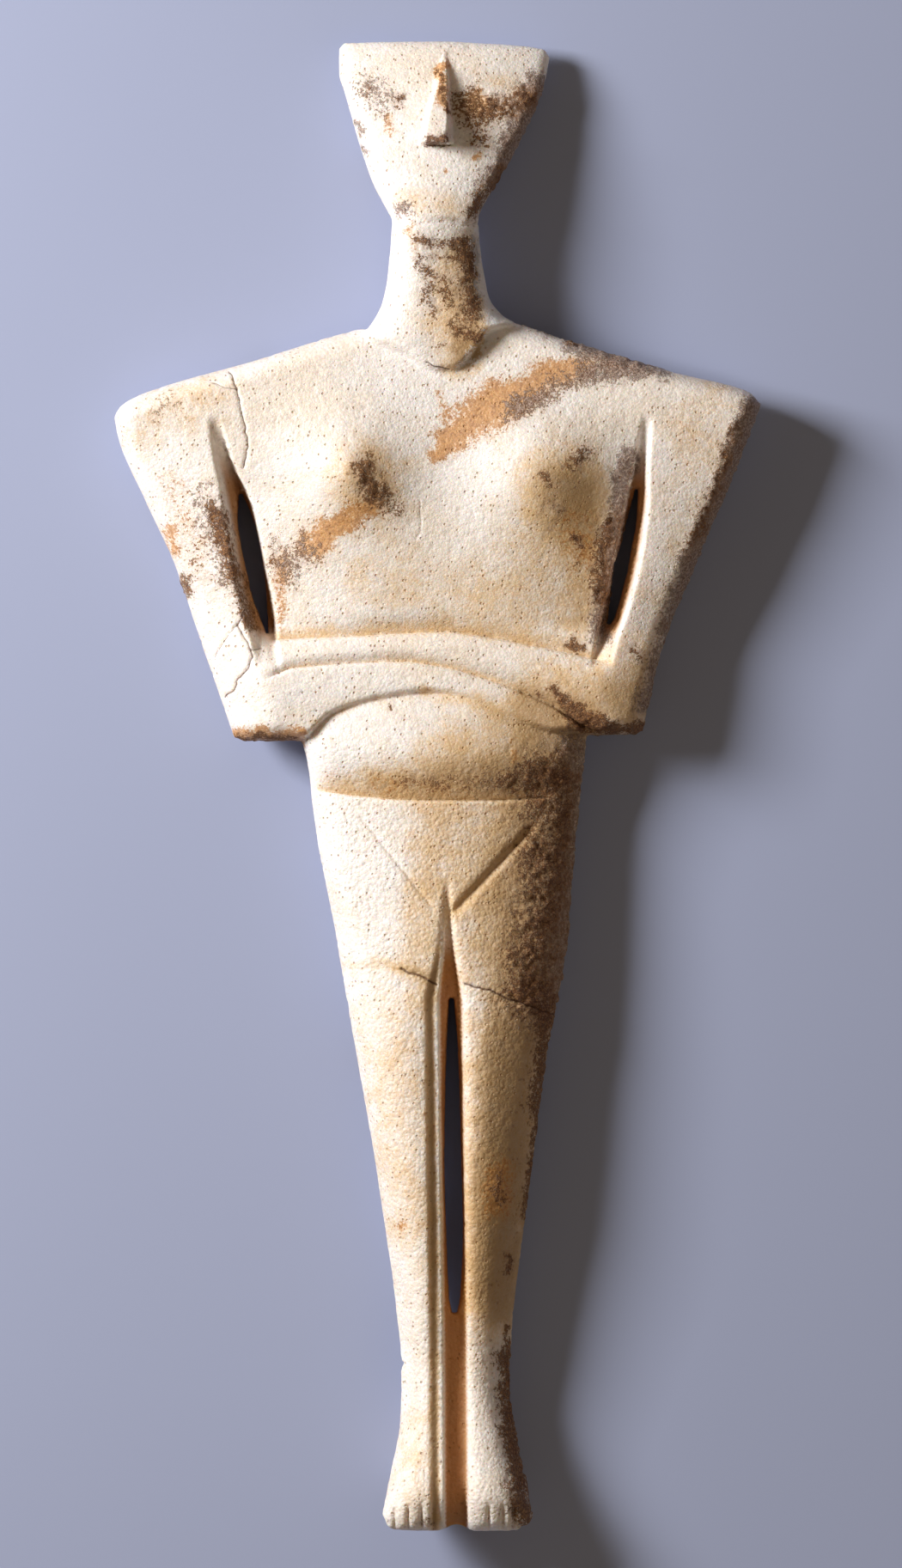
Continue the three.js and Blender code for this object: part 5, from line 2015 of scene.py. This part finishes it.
    def material(self) -> bpy.types.Material:
        """Builds the material.

        Returns:
            A material that reads the stain values stored on the mesh and places in the object.
        """
        made = bpy.data.materials.new("aged_marble")
        made.use_nodes = True
        made.node_tree.nodes.clear()
        w = Wiring(made.node_tree)
        place = w.node("ShaderNodeTexCoord").outputs["Object"]
        grain = w.placed(self.grain.group(), {"Place": place, "Coarse": w.stored("coarse")})
        group = self.deposit.group()
        noises = {name: grain[name] for name in ("Blotch", "Mottle", "Grit")}
        stains = {kind: w.placed(group, {**noises, "Strength": w.stored(kind.value), "Reach": cover.reach,
                                         "Softness": cover.softness}) for kind, cover in self.covers}
        colour = self.stained(w, self.stone(w, place, grain), grain, stains)
        crust = w.math("MAXIMUM", stains[BROWN]["Mask"], stains[VIOLET]["Mask"])
        rough_crust = w.math("MULTIPLY", crust, grain["Grit"])
        bump = w.node("ShaderNodeBump", {
            "Strength": 1.0, "Distance": self.bump_height,
            "Height": w.total((grain["Height"], 1.0), (rough_crust, self.crust_bump)),
        })
        roughened = w.total((crust, self.crust_roughness), (grain["Sparkle"], self.sparkle_roughness))
        shader = w.node("ShaderNodeBsdfPrincipled", {
            "Base Color": colour, "Roughness": w.math("ADD", roughened, self.roughness),
            "Normal": bump.outputs[0], "IOR": self.refraction, "Subsurface Weight": self.translucency,
            "Subsurface Radius": self.translucency_radius, "Subsurface Scale": self.translucency_reach,
        })
        w.node("ShaderNodeOutputMaterial", {"Surface": shader.outputs[0]})
        return made


@dataclass(frozen=True)
class Lamp:
    """A square soft light that shines on the figure from a direction."""

    name: str
    direction: tuple[float, float, float]
    power: float
    size: float
    colour: tuple[float, float, float]

    def build(self, distance: float) -> None:
        """Makes the light.

        Args:
            distance: How far it stands from the figure's middle, in metres.
        """
        lamp = bpy.data.lights.new(self.name, "AREA")
        lamp.energy = self.power
        lamp.size = self.size
        lamp.color = self.colour
        piece = bpy.data.objects.new(self.name, lamp)
        towards = Vector(self.direction).normalized()
        piece.location = towards * distance
        piece.rotation_euler = towards.to_track_quat("Z", "Y").to_euler()
        bpy.context.scene.collection.objects.link(piece)


@dataclass(frozen=True)
class Studio:
    """A plain pale floor, soft light from the upper left and a camera that looks straight down."""

    picture_middle: tuple[float, float] = (9.2, 0.9)
    picture_height: float = 1055
    distance: float = 6.0
    sensor: float = 36.0
    view_limit: float = 20.0
    floor_reach: float = 3.0
    floor_colour: Colour = (0.34, 0.385, 0.57, 1)
    floor_roughness: float = 0.9
    key: Lamp = Lamp("key", (-0.78, 0.36, 0.52), 23.0, 0.42, (1.0, 0.97, 0.92))
    fill: Lamp = Lamp("fill", (0.6, -0.3, 0.7), 0.9, 0.9, (1.0, 0.86, 0.68))
    lamp_distance: float = 1.2
    surround_colour: Colour = (1.0, 0.78, 0.52, 1)
    surround_strength: float = 0.15

    def floor(self) -> None:
        """A wide level floor at the height that the figure lies on."""
        reach = self.floor_reach
        mesh = bpy.data.meshes.new("floor")
        corners = [(-reach, -reach, 0), (reach, -reach, 0), (reach, reach, 0), (-reach, reach, 0)]
        mesh.from_pydata(corners, [], [(0, 1, 2, 3)])
        piece = bpy.data.objects.new("floor", mesh)
        bpy.context.scene.collection.objects.link(piece)
        made = bpy.data.materials.new("pale_floor")
        made.use_nodes = True
        shader = made.node_tree.nodes["Principled BSDF"]
        shader.inputs["Base Color"].default_value = self.floor_colour
        shader.inputs["Roughness"].default_value = self.floor_roughness
        mesh.materials.append(made)

    def lights(self) -> None:
        """The key light, a weak fill from the right and a pale surrounding."""
        self.key.build(self.lamp_distance)
        self.fill.build(self.lamp_distance)
        world = bpy.data.worlds.new("studio")
        world.use_nodes = True
        background = world.node_tree.nodes["Background"]
        background.inputs["Color"].default_value = self.surround_colour
        background.inputs["Strength"].default_value = self.surround_strength
        bpy.context.scene.world = world

    def camera(self) -> None:
        """A long lens above the figure, framed so that the picture's height takes in its share."""
        data = bpy.data.cameras.new("camera")
        data.sensor_fit = "VERTICAL"
        data.sensor_height = self.sensor
        data.sensor_width = self.sensor
        data.lens = self.sensor * self.distance / (self.picture_height * SHARE)
        data.clip_end = self.view_limit
        piece = bpy.data.objects.new("camera", data)
        across, along = self.picture_middle
        piece.location = (across * SHARE, along * SHARE, self.distance)
        bpy.context.scene.collection.objects.link(piece)
        bpy.context.scene.camera = piece

    def build(self) -> None:
        """Sets up the floor, the lights, the camera and the picture's tone."""
        self.floor()
        self.lights()
        self.camera()
        settings = bpy.context.scene.view_settings
        settings.view_transform = "Standard"
        settings.look = "None"
        settings.exposure = 0.0


def main() -> None:
    """Builds the figurine and the studio around it."""
    logging.basicConfig(level=logging.INFO, format="%(message)s")
    studio = Studio()
    studio.build()
    piece = Figurine().build()
    piece.data.materials.append(AgedMarble().material())
    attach(piece, BODY)
    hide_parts(NODE)
    LOG.info("%s: dressed", piece.name)


if __name__ == "__main__":
    main()
